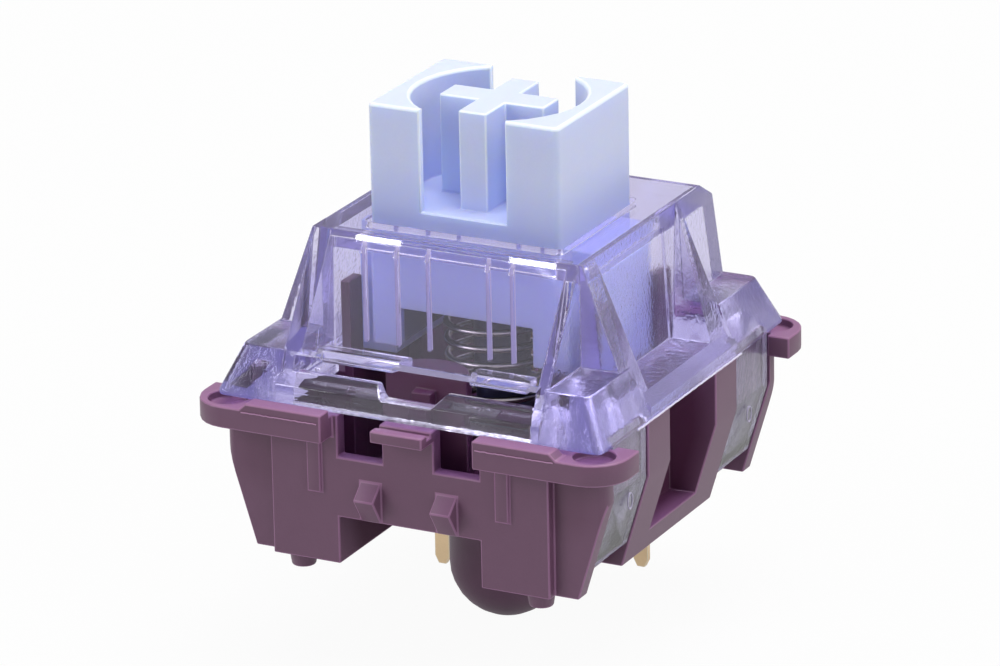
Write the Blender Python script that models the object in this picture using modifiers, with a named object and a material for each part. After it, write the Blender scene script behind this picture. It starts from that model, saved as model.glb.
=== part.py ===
"""Plate-mount mechanical keyboard switch with a cross stem.

The origin is at the foot of the centre post. +X is to the right, -Y is the sloped front and +Z is up,
along the stem's travel. Run with: blender --background --python part.py
"""

import math

import bmesh
import bpy
from mathutils import Matrix, Vector

MM = 0.001

# Heights, stacked from the foot of the post upwards
POST_DROP = 3.3 * MM
FOOT_HEIGHT = 0.55 * MM
BODY_DEPTH = 4.45 * MM
FLANGE_THICKNESS = 0.75 * MM
SEAM = 0.1 * MM
RIM_HEIGHT = 0.75 * MM
TOP_RISE = 4.45 * MM
TOP_PLATE = 0.9 * MM
FLOOR_THICKNESS = 1.15 * MM

BODY_BOTTOM = POST_DROP + FOOT_HEIGHT
PLATE_SEAT = BODY_BOTTOM + BODY_DEPTH
FLANGE_TOP = PLATE_SEAT + FLANGE_THICKNESS
FLOOR = BODY_BOTTOM + FLOOR_THICKNESS
BASE_UNDERSIDE = FLANGE_TOP + SEAM
RIM_TOP = BASE_UNDERSIDE + RIM_HEIGHT
TOP_PLANE = RIM_TOP + TOP_RISE
PLATE_UNDERSIDE = TOP_PLANE - TOP_PLATE

# Fits: the gaps that stay between pieces
SLIDE_GAP = 0.1 * MM
SEAT_GAP = 0.05 * MM
SINK = 0.1 * MM

# Motion
TRAVEL = 3.6 * MM
LEAF_SWING = math.radians(5.7)
LEAF_RATE = LEAF_SWING / TRAVEL

# Body and flange
BODY_HALF = 6.975 * MM
CORNER_RELIEF = 0.375 * MM
CORNER_WIDTH = 1.875 * MM
CORNER_RADIUS = 0.3 * MM
TAPER_HEIGHT = 3.35 * MM
TAPER_SLOPE = 0.306
WALL = 0.55 * MM
FLANGE_OVERHANG = 0.825 * MM
FLANGE_RADIUS = 1.3 * MM
RIM_STANDOUT = 0.075 * MM

FLANGE_HALF = BODY_HALF + FLANGE_OVERHANG
RIM_HALF = BODY_HALF + RIM_STANDOUT

# Stem
STEM_HALF_X = 3.485 * MM
STEM_HALF_Y = 2.7 * MM
STEM_RADIUS = 0.2 * MM
STEM_STANDOUT = 0.52 * MM
CROSS_HEIGHT = 3.42 * MM
CROSS_HALF_X = 1.92 * MM
CROSS_HALF_Y = 1.95 * MM
CROSS_ARM_X = 1.02 * MM
CROSS_ARM_Y = 1.14 * MM
WALL_LEAD = 0.11 * MM
SLOT_HALF = 1.57 * MM
KEYCAP_CLEARANCE = 0.22 * MM
SKIRT_DROP = 3.0 * MM
STEM_ROOF = 1.15 * MM
HOLLOW_WALL_X = 0.985 * MM
HOLLOW_WALL_Y = 0.55 * MM
LEG_FOOT_CLEARANCE = 1.4 * MM
RAIL_STANDOUT = 0.815 * MM
RAIL_HALF_Y = 1.85 * MM
RAIL_FOOT_CLEARANCE = 0.8 * MM
POLE_CHAMFER = 0.25 * MM
POLE_OVERLAP = 2.1 * MM
CAM_CENTRE = 1.7 * MM
CAM_WIDTH = 0.7 * MM
CAM_FOOT_CLEARANCE = 1.0 * MM
CAM_LENGTH = 1.9 * MM

HOLLOW_HALF_X = STEM_HALF_X - HOLLOW_WALL_X
HOLLOW_HALF_Y = STEM_HALF_Y - HOLLOW_WALL_Y
RAIL_INNER = STEM_HALF_X - HOLLOW_WALL_X / 2
RAIL_OUTER = STEM_HALF_X + RAIL_STANDOUT

# Spring, inside the stem's hollow and around the housing's column
WIRE_RADIUS = 0.125 * MM
SPRING_CLEARANCE = 0.2 * MM
SPRING_TURNS = 13.5
CLOSED_PITCH = 0.27 * MM
STEPS_PER_TURN = 12

SPRING_RADIUS = HOLLOW_HALF_Y - SPRING_CLEARANCE

# Bottom housing
LUG_START = 2.77 * MM
SIDE_LUG_INSET = 1.225 * MM
CAVITY_INSET = 2.025 * MM
POCKET_HALF = 1.75 * MM
POCKET_DEPTH = 1.75 * MM
POCKET_SILL = 0.8 * MM
POCKET_LINER = 0.6 * MM
LEG_CENTRE_INSET = 2.275 * MM
LEG_WIDTH = 2.5 * MM
LEG_THICKNESS = 0.65 * MM
LEG_INSET = 0.05 * MM
LEG_TIP_HEIGHT = 0.9 * MM
HOOK_DEPTH = 0.25 * MM
HOOK_HEIGHT = 0.4 * MM
HOOK_RISE = 1.1 * MM
TAB_HALF = 0.95 * MM
WINDOW_END = 2.6 * MM
SILL_DROP = 0.7 * MM
LIP_THICKNESS = 0.41 * MM
LIP_GROOVE = 0.16 * MM
RELIEF_HEIGHT = 1.65 * MM
RELIEF_SET = 0.4 * MM
CATCH_CENTRE = 1.4 * MM
CATCH_WIDTH = 0.75 * MM
CATCH_REACH = 0.575 * MM
CATCH_DROP = 1.4 * MM
CATCH_HEIGHT = 1.4 * MM
CATCH_APEX_DROP = 0.5 * MM
RIB_CENTRE = 3.45 * MM
RIB_WIDTH = 0.5 * MM
RIB_REACH = 0.12 * MM
RIB_LENGTH = 2.0 * MM
BAR_INSET = 2.0 * MM
BAR_RISE = 0.23 * MM
BAR_SLOPE = 0.25 * MM
DIMPLE_INSET_X = 1.1 * MM
DIMPLE_INSET_Y = 0.98 * MM
DIMPLE_RADIUS = 0.7 * MM
DIMPLE_DEPTH = 0.3 * MM
FOOT_INSET_X = 2.575 * MM
FOOT_INSET_Y = 0.775 * MM
FOOT_RADIUS = 0.5 * MM
POST_RADIUS = 1.975 * MM
COLUMN_WALL = 0.45 * MM
COLUMN_HEIGHT = 2.4 * MM
GUIDE_OVERLAP = 0.15 * MM
GUIDE_THICKNESS = 0.35 * MM
GUIDE_WIDTH = 0.9 * MM
GUIDE_RISE = 3.05 * MM
BOSS_RADIUS = 1.5 * MM
BOSS_INSET = 1.375 * MM
BOSS_RISE = 1.35 * MM
BOSS_STEM_HALF = 0.35 * MM
BOSS_STEM_REACH = 0.4 * MM

COLUMN_RADIUS = SPRING_RADIUS - 2 * WIRE_RADIUS - SPRING_CLEARANCE
POLE_RADIUS = COLUMN_RADIUS - COLUMN_WALL - SLIDE_GAP
RELIEF_BACK = STEM_HALF_Y + RELIEF_SET
SIDE_LUG_START = BODY_HALF - SIDE_LUG_INSET
CAVITY_FOOT_HALF = BODY_HALF - CAVITY_INSET
LEG_CENTRE = BODY_HALF - LEG_CENTRE_INSET
BAR_END = FLANGE_HALF - BAR_INSET
GUIDE_INNER = RAIL_OUTER - GUIDE_OVERLAP
GUIDE_OUTER = GUIDE_INNER + GUIDE_THICKNESS
BOSS_FRONT = BODY_HALF - BOSS_INSET

# Top housing
SHOULDER_X = 1.455 * MM
SHOULDER_FRONT = 1.3 * MM
SHOULDER_BACK = 3.07 * MM
BACK_CHAMFER_WIDTH = 0.83 * MM
BACK_CHAMFER_HEIGHT = 0.55 * MM
SIDE_SLOPE = 0.06
BACK_SLOPE = 0.146
SKIN = 0.5 * MM
NOSE_SKIN = 0.45 * MM
NOSE_ROOF = 0.35 * MM
NOSE_STEP = 0.09 * MM
NOSE_FOOT_INSET = 0.685 * MM
RIM_RADIUS = 0.3 * MM
RIM_CHAMFER_HEIGHT = 0.3 * MM
RIM_CHAMFER_WIDTH = 0.45 * MM
BLOCK_RISE = 0.95 * MM
BLOCK_FOOT = 0.15 * MM
BLOCK_STEP = 0.1 * MM
BLOCK_LEAN_X = 0.7 * MM
BLOCK_LEAN_Y = 0.6 * MM
BLOCK_LENGTH = 3.7 * MM
FIN_FOOT_INSET = 0.4 * MM
FRONT_FIN_WIDTH = 0.93 * MM
FRONT_FIN_SPREAD = 0.09
BACK_FIN_SET = 0.3 * MM
BACK_FIN_WIDTH = 0.2 * MM
BACK_FIN_SPREAD = (0.19, 0.065)
LIP_MARGIN = 0.45 * MM
FRONT_LIP_RISE = 0.3 * MM
FRONT_LIP_DEPTH = 0.5 * MM
FRONT_LIP_CHAMFER = 0.35 * MM
SLOT_HEIGHT = 0.5 * MM
DIP_HALF = 0.9 * MM
DIP_FLARE = 0.43 * MM
DIP_DEPTH = 0.4 * MM
LEDGE_SHARES = ((-0.773, -0.186, -0.109), (0.392, 0.825, 0.825))
LEDGE_LENGTH = 0.9 * MM
LEDGE_THICKNESS = 0.3 * MM
LEDGE_RISE = 0.1 * MM
LEDGE_SET = 0.1 * MM
BAR_SHARES = (-0.619, -0.371, -0.134, 0.32, 0.501)
BAR_WIDTH = 0.14 * MM
BAR_DEPTH = 0.15 * MM
OPENING_GAP = 0.13 * MM
PANEL_HALF = 2.0 * MM
PANEL_DEPTH = 0.08 * MM
PANEL_MARGIN = 0.55 * MM

TOP_HALF = STEM_HALF_X + SHOULDER_X
TOP_FRONT = STEM_HALF_Y + SHOULDER_FRONT
TOP_BACK = STEM_HALF_Y + SHOULDER_BACK
NOSE_HALF = TOP_HALF - NOSE_STEP
NOSE_SLOPE = (RIM_HALF - NOSE_FOOT_INSET - TOP_FRONT) / (TOP_RISE - FRONT_LIP_RISE - SLOT_HEIGHT)
LIP_HALF = NOSE_HALF - LIP_MARGIN
BLOCK_INNER = NOSE_HALF - BLOCK_STEP
BLOCK_BACK = RIM_HALF - BLOCK_LENGTH

# Contacts
SHEET = 0.2 * MM
LEAF_SHEET = 0.15 * MM
PIN_TIP = 0.2 * MM
PIN_WIDTH = 0.56 * MM
PIN_CHAMFER = 0.14 * MM
PIN_GRID = 1.27 * MM
CONTACT_SPACING = 1.23 * MM
FIXED_FOOT_HEIGHT = 0.75 * MM
FIXED_FOOT_END = 1.15 * MM
FIXED_TONGUE_HALF = 0.6 * MM
FIXED_TONGUE_HEIGHT = 4.9 * MM
LEAF_TERMINAL_HEIGHT = 1.25 * MM
LEAF_HALF = 2.2 * MM
LEAF_FOOT_HEIGHT = 1.1 * MM
LEAF_ARM_WIDTH = 0.9 * MM
LEAF_ARM_HEIGHT = 5.8 * MM
LEAF_TONGUE_HALF = 0.5 * MM
LEAF_TONGUE_HEIGHT = 4.6 * MM
POINT_RADIUS = 0.32 * MM
POINT_REACH = 0.17 * MM
POINT_HEIGHT = 4.2 * MM
RETAINER_HEIGHT = 1.3 * MM

FIXED_PIN = Vector((-3, 2)) * PIN_GRID
LEAF_PIN = Vector((2, 4)) * PIN_GRID
FIXED_PLATE = LEAF_PIN.y - CONTACT_SPACING

ROUND_STEPS = 32
CORNER_STEPS = 4
REACH = 20 * MM

parts = None
cutters = None


def new_collection(name, hidden=False):
    """Return a new collection under the scene's own."""
    collection = bpy.data.collections.new(name)
    bpy.context.scene.collection.children.link(collection)
    collection.hide_render = hidden
    return collection


def finish(name, colour, roughness, metallic=0.0, alpha=1.0):
    """Return a Principled material for one moulding or sheet."""
    material = bpy.data.materials.new(name)
    material.use_nodes = True
    shader = material.node_tree.nodes["Principled BSDF"]
    shader.inputs["Base Color"].default_value = (*colour, 1.0)
    shader.inputs["Roughness"].default_value = roughness
    shader.inputs["Metallic"].default_value = metallic
    shader.inputs["Alpha"].default_value = alpha
    return material


def as_piece(name, shape):
    """Turn a bmesh into an object in the parts collection."""
    bmesh.ops.recalc_face_normals(shape, faces=shape.faces)
    mesh = bpy.data.meshes.new(name)
    shape.to_mesh(mesh)
    shape.free()
    piece = bpy.data.objects.new(name, mesh)
    parts.objects.link(piece)
    return piece


def block(name, x, y, z):
    """Return a box that spans the pairs x, y and z."""
    size = [abs(pair[1] - pair[0]) for pair in (x, y, z)]
    centre = [(pair[0] + pair[1]) / 2 for pair in (x, y, z)]
    shape = bmesh.new()
    placing = Matrix.Translation(centre) @ Matrix.Diagonal((*size, 1.0))
    bmesh.ops.create_cube(shape, size=1.0, matrix=placing)
    return as_piece(name, shape)


def prism(name, outline, axis, low, high):
    """Extrude an outline along X, Y or Z; its points are the other two axes in order."""
    order = {"X": (2, 0, 1), "Y": (0, 2, 1), "Z": (0, 1, 2)}[axis]
    shape = bmesh.new()
    corners = []
    for first, second in outline:
        values = (first, second, low)
        corners.append(shape.verts.new([values[index] for index in order]))
    face = shape.faces.new(corners)
    grown = bmesh.ops.extrude_face_region(shape, geom=[face])["geom"]
    step = Vector([(0.0, 0.0, high - low)[index] for index in order])
    bmesh.ops.translate(shape, vec=step, verts=[item for item in grown if isinstance(item, bmesh.types.BMVert)])
    return as_piece(name, shape)


def loft(name, sections):
    """Skin outlines of equally many points, each at its own height, and cap both ends."""
    shape = bmesh.new()
    rings = [[shape.verts.new((x, y, height)) for x, y in outline] for height, outline in sections]
    for lower, upper in zip(rings, rings[1:]):
        for index in range(len(lower)):
            following = (index + 1) % len(lower)
            shape.faces.new((lower[index], lower[following], upper[following], upper[index]))
    shape.faces.new(rings[0])
    shape.faces.new(rings[-1])
    return as_piece(name, shape)


def cylinder(name, place, radius, z, foot_radius=None):
    """Return an upright cylinder or cone between the two heights in z."""
    shape = bmesh.new()
    centre = Matrix.Translation((place[0], place[1], (z[0] + z[1]) / 2))
    bmesh.ops.create_cone(
        shape,
        cap_ends=True,
        segments=ROUND_STEPS,
        radius1=radius if foot_radius is None else foot_radius,
        radius2=radius,
        depth=z[1] - z[0],
        matrix=centre,
    )
    return as_piece(name, shape)


def turned(name, profile, steps):
    """Turn a profile of (radius, height) points that starts and ends on the Z axis."""
    mesh = bpy.data.meshes.new(name)
    edges = [(index, index + 1) for index in range(len(profile) - 1)]
    mesh.from_pydata([(radius, 0.0, height) for radius, height in profile], edges, [])
    piece = bpy.data.objects.new(name, mesh)
    parts.objects.link(piece)
    screw = piece.modifiers.new("turn", "SCREW")
    screw.steps = steps
    screw.render_steps = steps
    screw.use_merge_vertices = True
    screw.merge_threshold = 0.000001
    return settle(piece)


def settle(piece):
    """Put the result of a piece's modifiers into its mesh, facing out."""
    graph = bpy.context.evaluated_depsgraph_get()
    mesh = bpy.data.meshes.new_from_object(piece.evaluated_get(graph))
    piece.modifiers.clear()
    shape = bmesh.new()
    shape.from_mesh(mesh)
    bmesh.ops.remove_doubles(shape, verts=shape.verts, dist=0.0000005)
    bmesh.ops.recalc_face_normals(shape, faces=shape.faces)
    shape.to_mesh(mesh)
    shape.free()
    piece.data = mesh
    return piece


def combine(piece, tool, operation):
    """Give a piece a Boolean modifier that uses the tool, and put the tool with the cutters."""
    modifier = piece.modifiers.new(f"{operation.lower()} {tool.name}", "BOOLEAN")
    modifier.operation = operation
    modifier.solver = "EXACT"
    modifier.object = tool
    parts.objects.unlink(tool)
    cutters.objects.link(tool)
    tool.hide_render = True
    tool.display_type = "WIRE"


def add(piece, tool):
    """Join a tool to a piece."""
    combine(piece, tool, "UNION")


def cut(piece, tool):
    """Cut a tool out of a piece."""
    combine(piece, tool, "DIFFERENCE")


def arc(centre, radius, start, end, steps):
    """Return the points of an arc between two angles in degrees."""
    points = []
    for index in range(steps + 1):
        angle = math.radians(start + (end - start) * index / steps)
        points.append((centre[0] + radius * math.cos(angle), centre[1] + radius * math.sin(angle)))
    return points


def rectangle(x, y):
    """Return the corners of a rectangle, anticlockwise from its low corner."""
    return [(x[0], y[0]), (x[1], y[0]), (x[1], y[1]), (x[0], y[1])]


def rounded_rectangle(half_x, half_y, radius, steps=CORNER_STEPS):
    """Return a centred rectangle with round corners."""
    points = []
    for turn, (sign_x, sign_y) in enumerate(((1, 1), (-1, 1), (-1, -1), (1, -1))):
        centre = (sign_x * (half_x - radius), sign_y * (half_y - radius))
        points += arc(centre, radius, turn * 90, turn * 90 + 90, steps)
    return points


def mirrored(pair, side):
    """Return a pair of limits on the side given by +1 or -1, low value first."""
    return tuple(sorted((pair[0] * side, pair[1] * side)))


def body_outline():
    """Return the body's plan: a square whose corners are set back, with small round edges."""
    step = BODY_HALF - CORNER_WIDTH
    back = BODY_HALF - CORNER_RELIEF
    centre = (BODY_HALF - CORNER_RADIUS, back - CORNER_RADIUS)
    corner = arc(centre, CORNER_RADIUS, 0, 90, CORNER_STEPS) + [(step, back), (step, BODY_HALF)]
    left = [(-x, y) for x, y in reversed(corner)]
    upper = corner + left
    return upper + [(x, -y) for x, y in reversed(upper)]


def taper_x(height):
    """Return the half width of the body's tapered side at a height."""
    knee = BODY_BOTTOM + TAPER_HEIGHT
    return BODY_HALF - TAPER_SLOPE * max(0.0, knee - height)


def side_profile(inset, low, high):
    """Return X and Z points down the body's side, moved inwards by inset."""
    knee = BODY_BOTTOM + TAPER_HEIGHT
    return [(BODY_HALF - inset, high), (BODY_HALF - inset, knee), (taper_x(low) - inset, low)]


def signed(outline, side):
    """Mirror an outline's first coordinate for side -1."""
    return [(first * side, second) for first, second in outline]


def flange():
    """Return the plate flange with its front, back and side gaps."""
    plan = rounded_rectangle(FLANGE_HALF, FLANGE_HALF, FLANGE_RADIUS, 6)
    piece = prism("flange", plan, "Z", PLATE_SEAT, FLANGE_TOP)
    wall_line = BODY_HALF - WALL / 2
    for side in (-1, 1):
        beyond = mirrored((wall_line, REACH), side)
        cut(piece, block("lug gap", (-LUG_START, LUG_START), beyond, (0, REACH)))
        cut(piece, block("side gap", beyond, (-SIDE_LUG_START, SIDE_LUG_START), (0, REACH)))
    return settle(piece)


def post():
    """Return the locating post with its round end."""
    dome = arc((0.0, POST_RADIUS), POST_RADIUS, -90, 0, 8)
    top = FLOOR - SINK
    profile = [(0.0, 0.0)] + dome[1:] + [(POST_RADIUS, top), (0.0, top)]
    return turned("post", profile, ROUND_STEPS)


def pole_tip():
    """Return the height of the stem's pole tip at rest."""
    return FLOOR + COLUMN_HEIGHT - POLE_OVERLAP


def leg_span(side, gap=0.0):
    """Return the Y limits of a latch leg, widened by a gap."""
    half = LEG_WIDTH / 2 + gap
    return mirrored((LEG_CENTRE - half, LEG_CENTRE + half), side)


def leg_channel(side_x, side_y):
    """Return the cutter for the channel that a latch leg lies in, with the notch for its hook."""
    depth = LEG_INSET + LEG_THICKNESS + SEAT_GAP
    low, high = BODY_BOTTOM - FOOT_HEIGHT, FLANGE_TOP + SINK
    outline = side_profile(depth, low, high) + [(BODY_HALF + SEAT_GAP / 2, low), (BODY_HALF + SEAT_GAP / 2, high)]
    y = leg_span(side_y, SEAT_GAP)
    channel = prism("leg channel", signed(outline, side_x), "Y", *y)
    hook_low = BODY_BOTTOM + HOOK_RISE - SEAT_GAP
    hook_high = hook_low + HOOK_HEIGHT + 2 * SEAT_GAP
    inner = taper_x(hook_low) - depth - HOOK_DEPTH
    add(channel, block("notch", mirrored((inner, taper_x(hook_low)), side_x), y, (hook_low, hook_high)))
    return settle(channel)


def catch(side_x, side_y):
    """Return one wedge that holds the switch in its plate."""
    top = PLATE_SEAT - CATCH_DROP
    outline = [
        ((BODY_HALF - SINK) * side_y, top),
        (BODY_HALF * side_y, top),
        ((BODY_HALF + CATCH_REACH) * side_y, top - CATCH_APEX_DROP),
        (BODY_HALF * side_y, top - CATCH_HEIGHT),
        ((BODY_HALF - SINK) * side_y, top - CATCH_HEIGHT),
    ]
    middle = CATCH_CENTRE * side_x
    return prism("catch", outline, "X", middle - CATCH_WIDTH / 2, middle + CATCH_WIDTH / 2)


def lug_bar(side_x, side_y):
    """Return the raised bar on a lug, in front of the top housing's rim."""
    outline = [
        (LUG_START, FLANGE_TOP - SINK),
        (LUG_START, FLANGE_TOP + BAR_RISE),
        (BAR_END - BAR_SLOPE, FLANGE_TOP + BAR_RISE),
        (BAR_END, FLANGE_TOP),
        (BAR_END, FLANGE_TOP - SINK),
    ]
    y = mirrored((RIM_HALF + SLIDE_GAP, FLANGE_HALF), side_y)
    return prism("lug bar", signed(outline, side_x), "Y", *y)


def add_plate_face(shell, side):
    """Add what the front and the back share: windows, centre tab, catches, ribs and lug bars."""
    wall = mirrored((BODY_HALF - 2 * WALL, BODY_HALF + SINK), side)
    sill = PLATE_SEAT - SILL_DROP
    for side_x in (-1, 1):
        window = block("window", mirrored((TAB_HALF, WINDOW_END), side_x), wall, (sill, REACH))
        cut(shell, window)
        add(shell, catch(side_x, side))
        middle = RIB_CENTRE * side_x
        rib_x = (middle - RIB_WIDTH / 2, middle + RIB_WIDTH / 2)
        rib_y = mirrored((BODY_HALF - SINK, BODY_HALF + RIB_REACH), side)
        add(shell, block("crush rib", rib_x, rib_y, (PLATE_SEAT - RIB_LENGTH, PLATE_SEAT + SINK)))
        add(shell, lug_bar(side_x, side))
    lip = block("tab lip", (-TAB_HALF, TAB_HALF), mirrored((BODY_HALF - SINK, FLANGE_HALF), side),
                (FLANGE_TOP - LIP_THICKNESS, FLANGE_TOP))
    groove_y = mirrored((BODY_HALF + LIP_GROOVE, BODY_HALF + 2.5 * LIP_GROOVE), side)
    cut(lip, block("lip groove", (-REACH, REACH), groove_y, (FLANGE_TOP - LIP_GROOVE, REACH)))
    add(shell, settle(lip))


def add_stem_guides(shell):
    """Add the side pockets' liners and the posts that guide the stem's rails."""
    liner_x = BODY_HALF - POCKET_DEPTH
    for side in (-1, 1):
        x = mirrored((liner_x - POCKET_LINER, BODY_HALF - 2 * WALL), side)
        half = POCKET_HALF + POCKET_LINER
        add(shell, block("pocket liner", x, (-half, half), (FLOOR - SINK, FLANGE_TOP)))
        for side_y in (-1, 1):
            y = mirrored((RAIL_HALF_Y + 1.5 * SLIDE_GAP, RAIL_HALF_Y + 1.5 * SLIDE_GAP + GUIDE_WIDTH), side_y)
            guide_x = mirrored((GUIDE_INNER, GUIDE_OUTER), side)
            foot_x = mirrored((GUIDE_INNER, liner_x), side)
            add(shell, block("guide post", guide_x, y, (FLOOR - SINK, FLANGE_TOP + GUIDE_RISE)))
            add(shell, block("guide foot", foot_x, y, (FLOOR - SINK, FLANGE_TOP - SINK)))


def bottom_housing():
    """Return the plum lower moulding."""
    shell = prism("bottom_housing", body_outline(), "Z", BODY_BOTTOM, FLANGE_TOP)
    for side in (-1, 1):
        foot, head = BODY_BOTTOM - SINK, BODY_BOTTOM + TAPER_HEIGHT + SINK
        slope = [
            (BODY_HALF - TAPER_SLOPE * (TAPER_HEIGHT + SINK), foot),
            (BODY_HALF + TAPER_SLOPE * SINK, head),
            (REACH, head),
            (REACH, foot),
        ]
        cut(shell, prism("taper", signed(slope, side), "Y", -REACH, REACH))
    add(shell, flange())

    cavity_top = BODY_HALF - LEG_INSET - LEG_THICKNESS - SEAT_GAP - WALL
    half_y = BODY_HALF - WALL
    cut(shell, loft("cavity", [
        (FLOOR, rectangle((-CAVITY_FOOT_HALF, CAVITY_FOOT_HALF), (-half_y, half_y))),
        (BODY_BOTTOM + TAPER_HEIGHT, rectangle((-cavity_top, cavity_top), (-half_y, half_y))),
        (FLANGE_TOP + SINK, rectangle((-cavity_top, cavity_top), (-half_y, half_y))),
    ]))
    add_stem_guides(shell)

    relief_top = BODY_BOTTOM + RELIEF_HEIGHT
    add(shell, block("relief roof", (-WINDOW_END - WALL, WINDOW_END + WALL),
                     (-half_y - SINK, WALL - RELIEF_BACK), (FLOOR - SINK, relief_top + WALL)))
    add(shell, post())
    add(shell, cylinder("column", (0, 0), COLUMN_RADIUS, (FLOOR - SINK, FLOOR + COLUMN_HEIGHT)))
    boss_top = FLANGE_TOP + BOSS_RISE
    boss = [(x, y - BOSS_FRONT) for x, y in arc((0, 0), BOSS_RADIUS, 0, 180, 12)]
    add(shell, prism("boss", boss, "Z", relief_top, boss_top))
    add(shell, block("boss stem", (-BOSS_STEM_HALF, BOSS_STEM_HALF),
                     (-BOSS_FRONT - BOSS_STEM_REACH, -BOSS_FRONT + SINK), (relief_top, RIM_TOP)))
    add_contact_seats(shell)

    for side in (-1, 1):
        pocket_x = mirrored((BODY_HALF - POCKET_DEPTH, REACH), side)
        cut(shell, block("pocket", pocket_x, (-POCKET_HALF, POCKET_HALF), (BODY_BOTTOM + POCKET_SILL, REACH)))
        for side_y in (-1, 1):
            cut(shell, leg_channel(side, side_y))
            place = ((FLANGE_HALF - DIMPLE_INSET_X) * side, (FLANGE_HALF - DIMPLE_INSET_Y) * side_y)
            cut(shell, cylinder("dimple", place, DIMPLE_RADIUS, (FLANGE_TOP - DIMPLE_DEPTH, FLANGE_TOP + SINK)))
            foot = ((BODY_HALF - FOOT_INSET_X) * side, (BODY_HALF - FOOT_INSET_Y) * side_y)
            add(shell, cylinder("foot", foot, FOOT_RADIUS, (POST_DROP, BODY_BOTTOM + SINK), FOOT_RADIUS * 0.8))
    cut(shell, block("front relief", (-WINDOW_END, WINDOW_END), (-REACH, -RELIEF_BACK), (0, relief_top)))
    for side in (-1, 1):
        add_plate_face(shell, side)
    bore_floor = pole_tip() - TRAVEL - SEAT_GAP
    cut(shell, cylinder("bore", (0, 0), POLE_RADIUS + SLIDE_GAP, (bore_floor, FLOOR + COLUMN_HEIGHT + SINK)))
    for pin in (FIXED_PIN, LEAF_PIN):
        half_x, half_y = PIN_WIDTH / 2 + SEAT_GAP, SHEET / 2 + SEAT_GAP
        cut(shell, block("pin hole", (pin.x - half_x, pin.x + half_x), (pin.y - half_y, pin.y + half_y),
                         (0, FLOOR + SINK)))
    return settle(shell)


def add_contact_seats(shell):
    """Add the walls that the two terminals are pressed against."""
    fixed_front = FIXED_PLATE - SHEET / 2 - SEAT_GAP
    add(shell, block("fixed seat", (-LEAF_HALF, FIXED_FOOT_END), (fixed_front - WALL, fixed_front),
                     (FLOOR - SINK, FLOOR + FIXED_FOOT_HEIGHT)))
    leaf_back = LEAF_PIN.y + SHEET / 2 + SEAT_GAP
    add(shell, block("leaf seat", (-LEAF_HALF, LEAF_PIN.x + PIN_WIDTH / 2), (leaf_back, BODY_HALF - WALL / 2),
                     (FLOOR - SINK, FLOOR + RETAINER_HEIGHT)))


def front_line(height):
    """Return how far the sloped front stands before the axis at a height."""
    return TOP_FRONT + NOSE_SLOPE * (TOP_PLANE - height)


def side_line(height):
    """Return the half width of the top housing's side panels at a height."""
    return TOP_HALF + SIDE_SLOPE * (TOP_PLANE - height)


def back_line(height):
    """Return how far the back face stands behind the axis at a height."""
    return TOP_BACK + BACK_SLOPE * (TOP_PLANE - height)


def corner_fin(side, front):
    """Return one of the upright fins that lean outwards from the top plane's corners to the base rim."""
    low = RIM_TOP - SINK
    rise = TOP_PLANE - low
    inner = TOP_HALF - 2 * SKIN
    if front:
        top_y = (-TOP_FRONT, -TOP_FRONT + FRONT_FIN_WIDTH)
        low_y = (top_y[0], top_y[1] + FRONT_FIN_SPREAD * rise)
    else:
        top_y = (STEM_HALF_Y + BACK_FIN_SET, STEM_HALF_Y + BACK_FIN_SET + BACK_FIN_WIDTH)
        low_y = (top_y[0] - BACK_FIN_SPREAD[0] * rise, top_y[1] + BACK_FIN_SPREAD[1] * rise)
    return loft("corner fin", [
        (low, signed(rectangle((inner, RIM_HALF - FIN_FOOT_INSET), low_y), side)),
        (TOP_PLANE, signed(rectangle((inner, TOP_HALF), top_y), side)),
    ])


def corner_block(side_x, side_y):
    """Return one of the four blocks on the base rim, with its sloped outer faces."""
    def outline(reach_x, reach_y, back):
        corner = arc((reach_x - RIM_RADIUS, reach_y - RIM_RADIUS), RIM_RADIUS, 0, 90, CORNER_STEPS)
        points = [(BLOCK_INNER, back), (reach_x, back)] + corner + [(BLOCK_INNER, reach_y)]
        return [(x * side_x, y * side_y) for x, y in points]

    foot = BASE_UNDERSIDE + BLOCK_FOOT
    return loft("corner block", [
        (foot - SINK, outline(RIM_HALF - SINK, RIM_HALF - SINK, BLOCK_BACK - SINK)),
        (foot, outline(RIM_HALF, RIM_HALF, BLOCK_BACK - SINK)),
        (RIM_TOP + BLOCK_RISE, outline(RIM_HALF - BLOCK_LEAN_X, RIM_HALF - BLOCK_LEAN_Y, BLOCK_BACK)),
    ])


def base_rim():
    """Return the rim that lies on the flange, with its corners cut down for the blocks."""
    knee = RIM_TOP - RIM_CHAMFER_HEIGHT
    crest = RIM_HALF - RIM_CHAMFER_WIDTH
    rim = loft("base rim", [
        (BASE_UNDERSIDE, rounded_rectangle(RIM_HALF, RIM_HALF, RIM_RADIUS)),
        (knee, rounded_rectangle(RIM_HALF, RIM_HALF, RIM_RADIUS)),
        (RIM_TOP, rounded_rectangle(crest, crest, RIM_RADIUS)),
    ])
    for side_x in (-1, 1):
        for side_y in (-1, 1):
            x, y = mirrored((BLOCK_INNER + SINK, REACH), side_x), mirrored((BLOCK_BACK, REACH), side_y)
            cut(rim, block("corner seat", x, y, (BASE_UNDERSIDE + BLOCK_FOOT, REACH)))
    return settle(rim)


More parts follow.
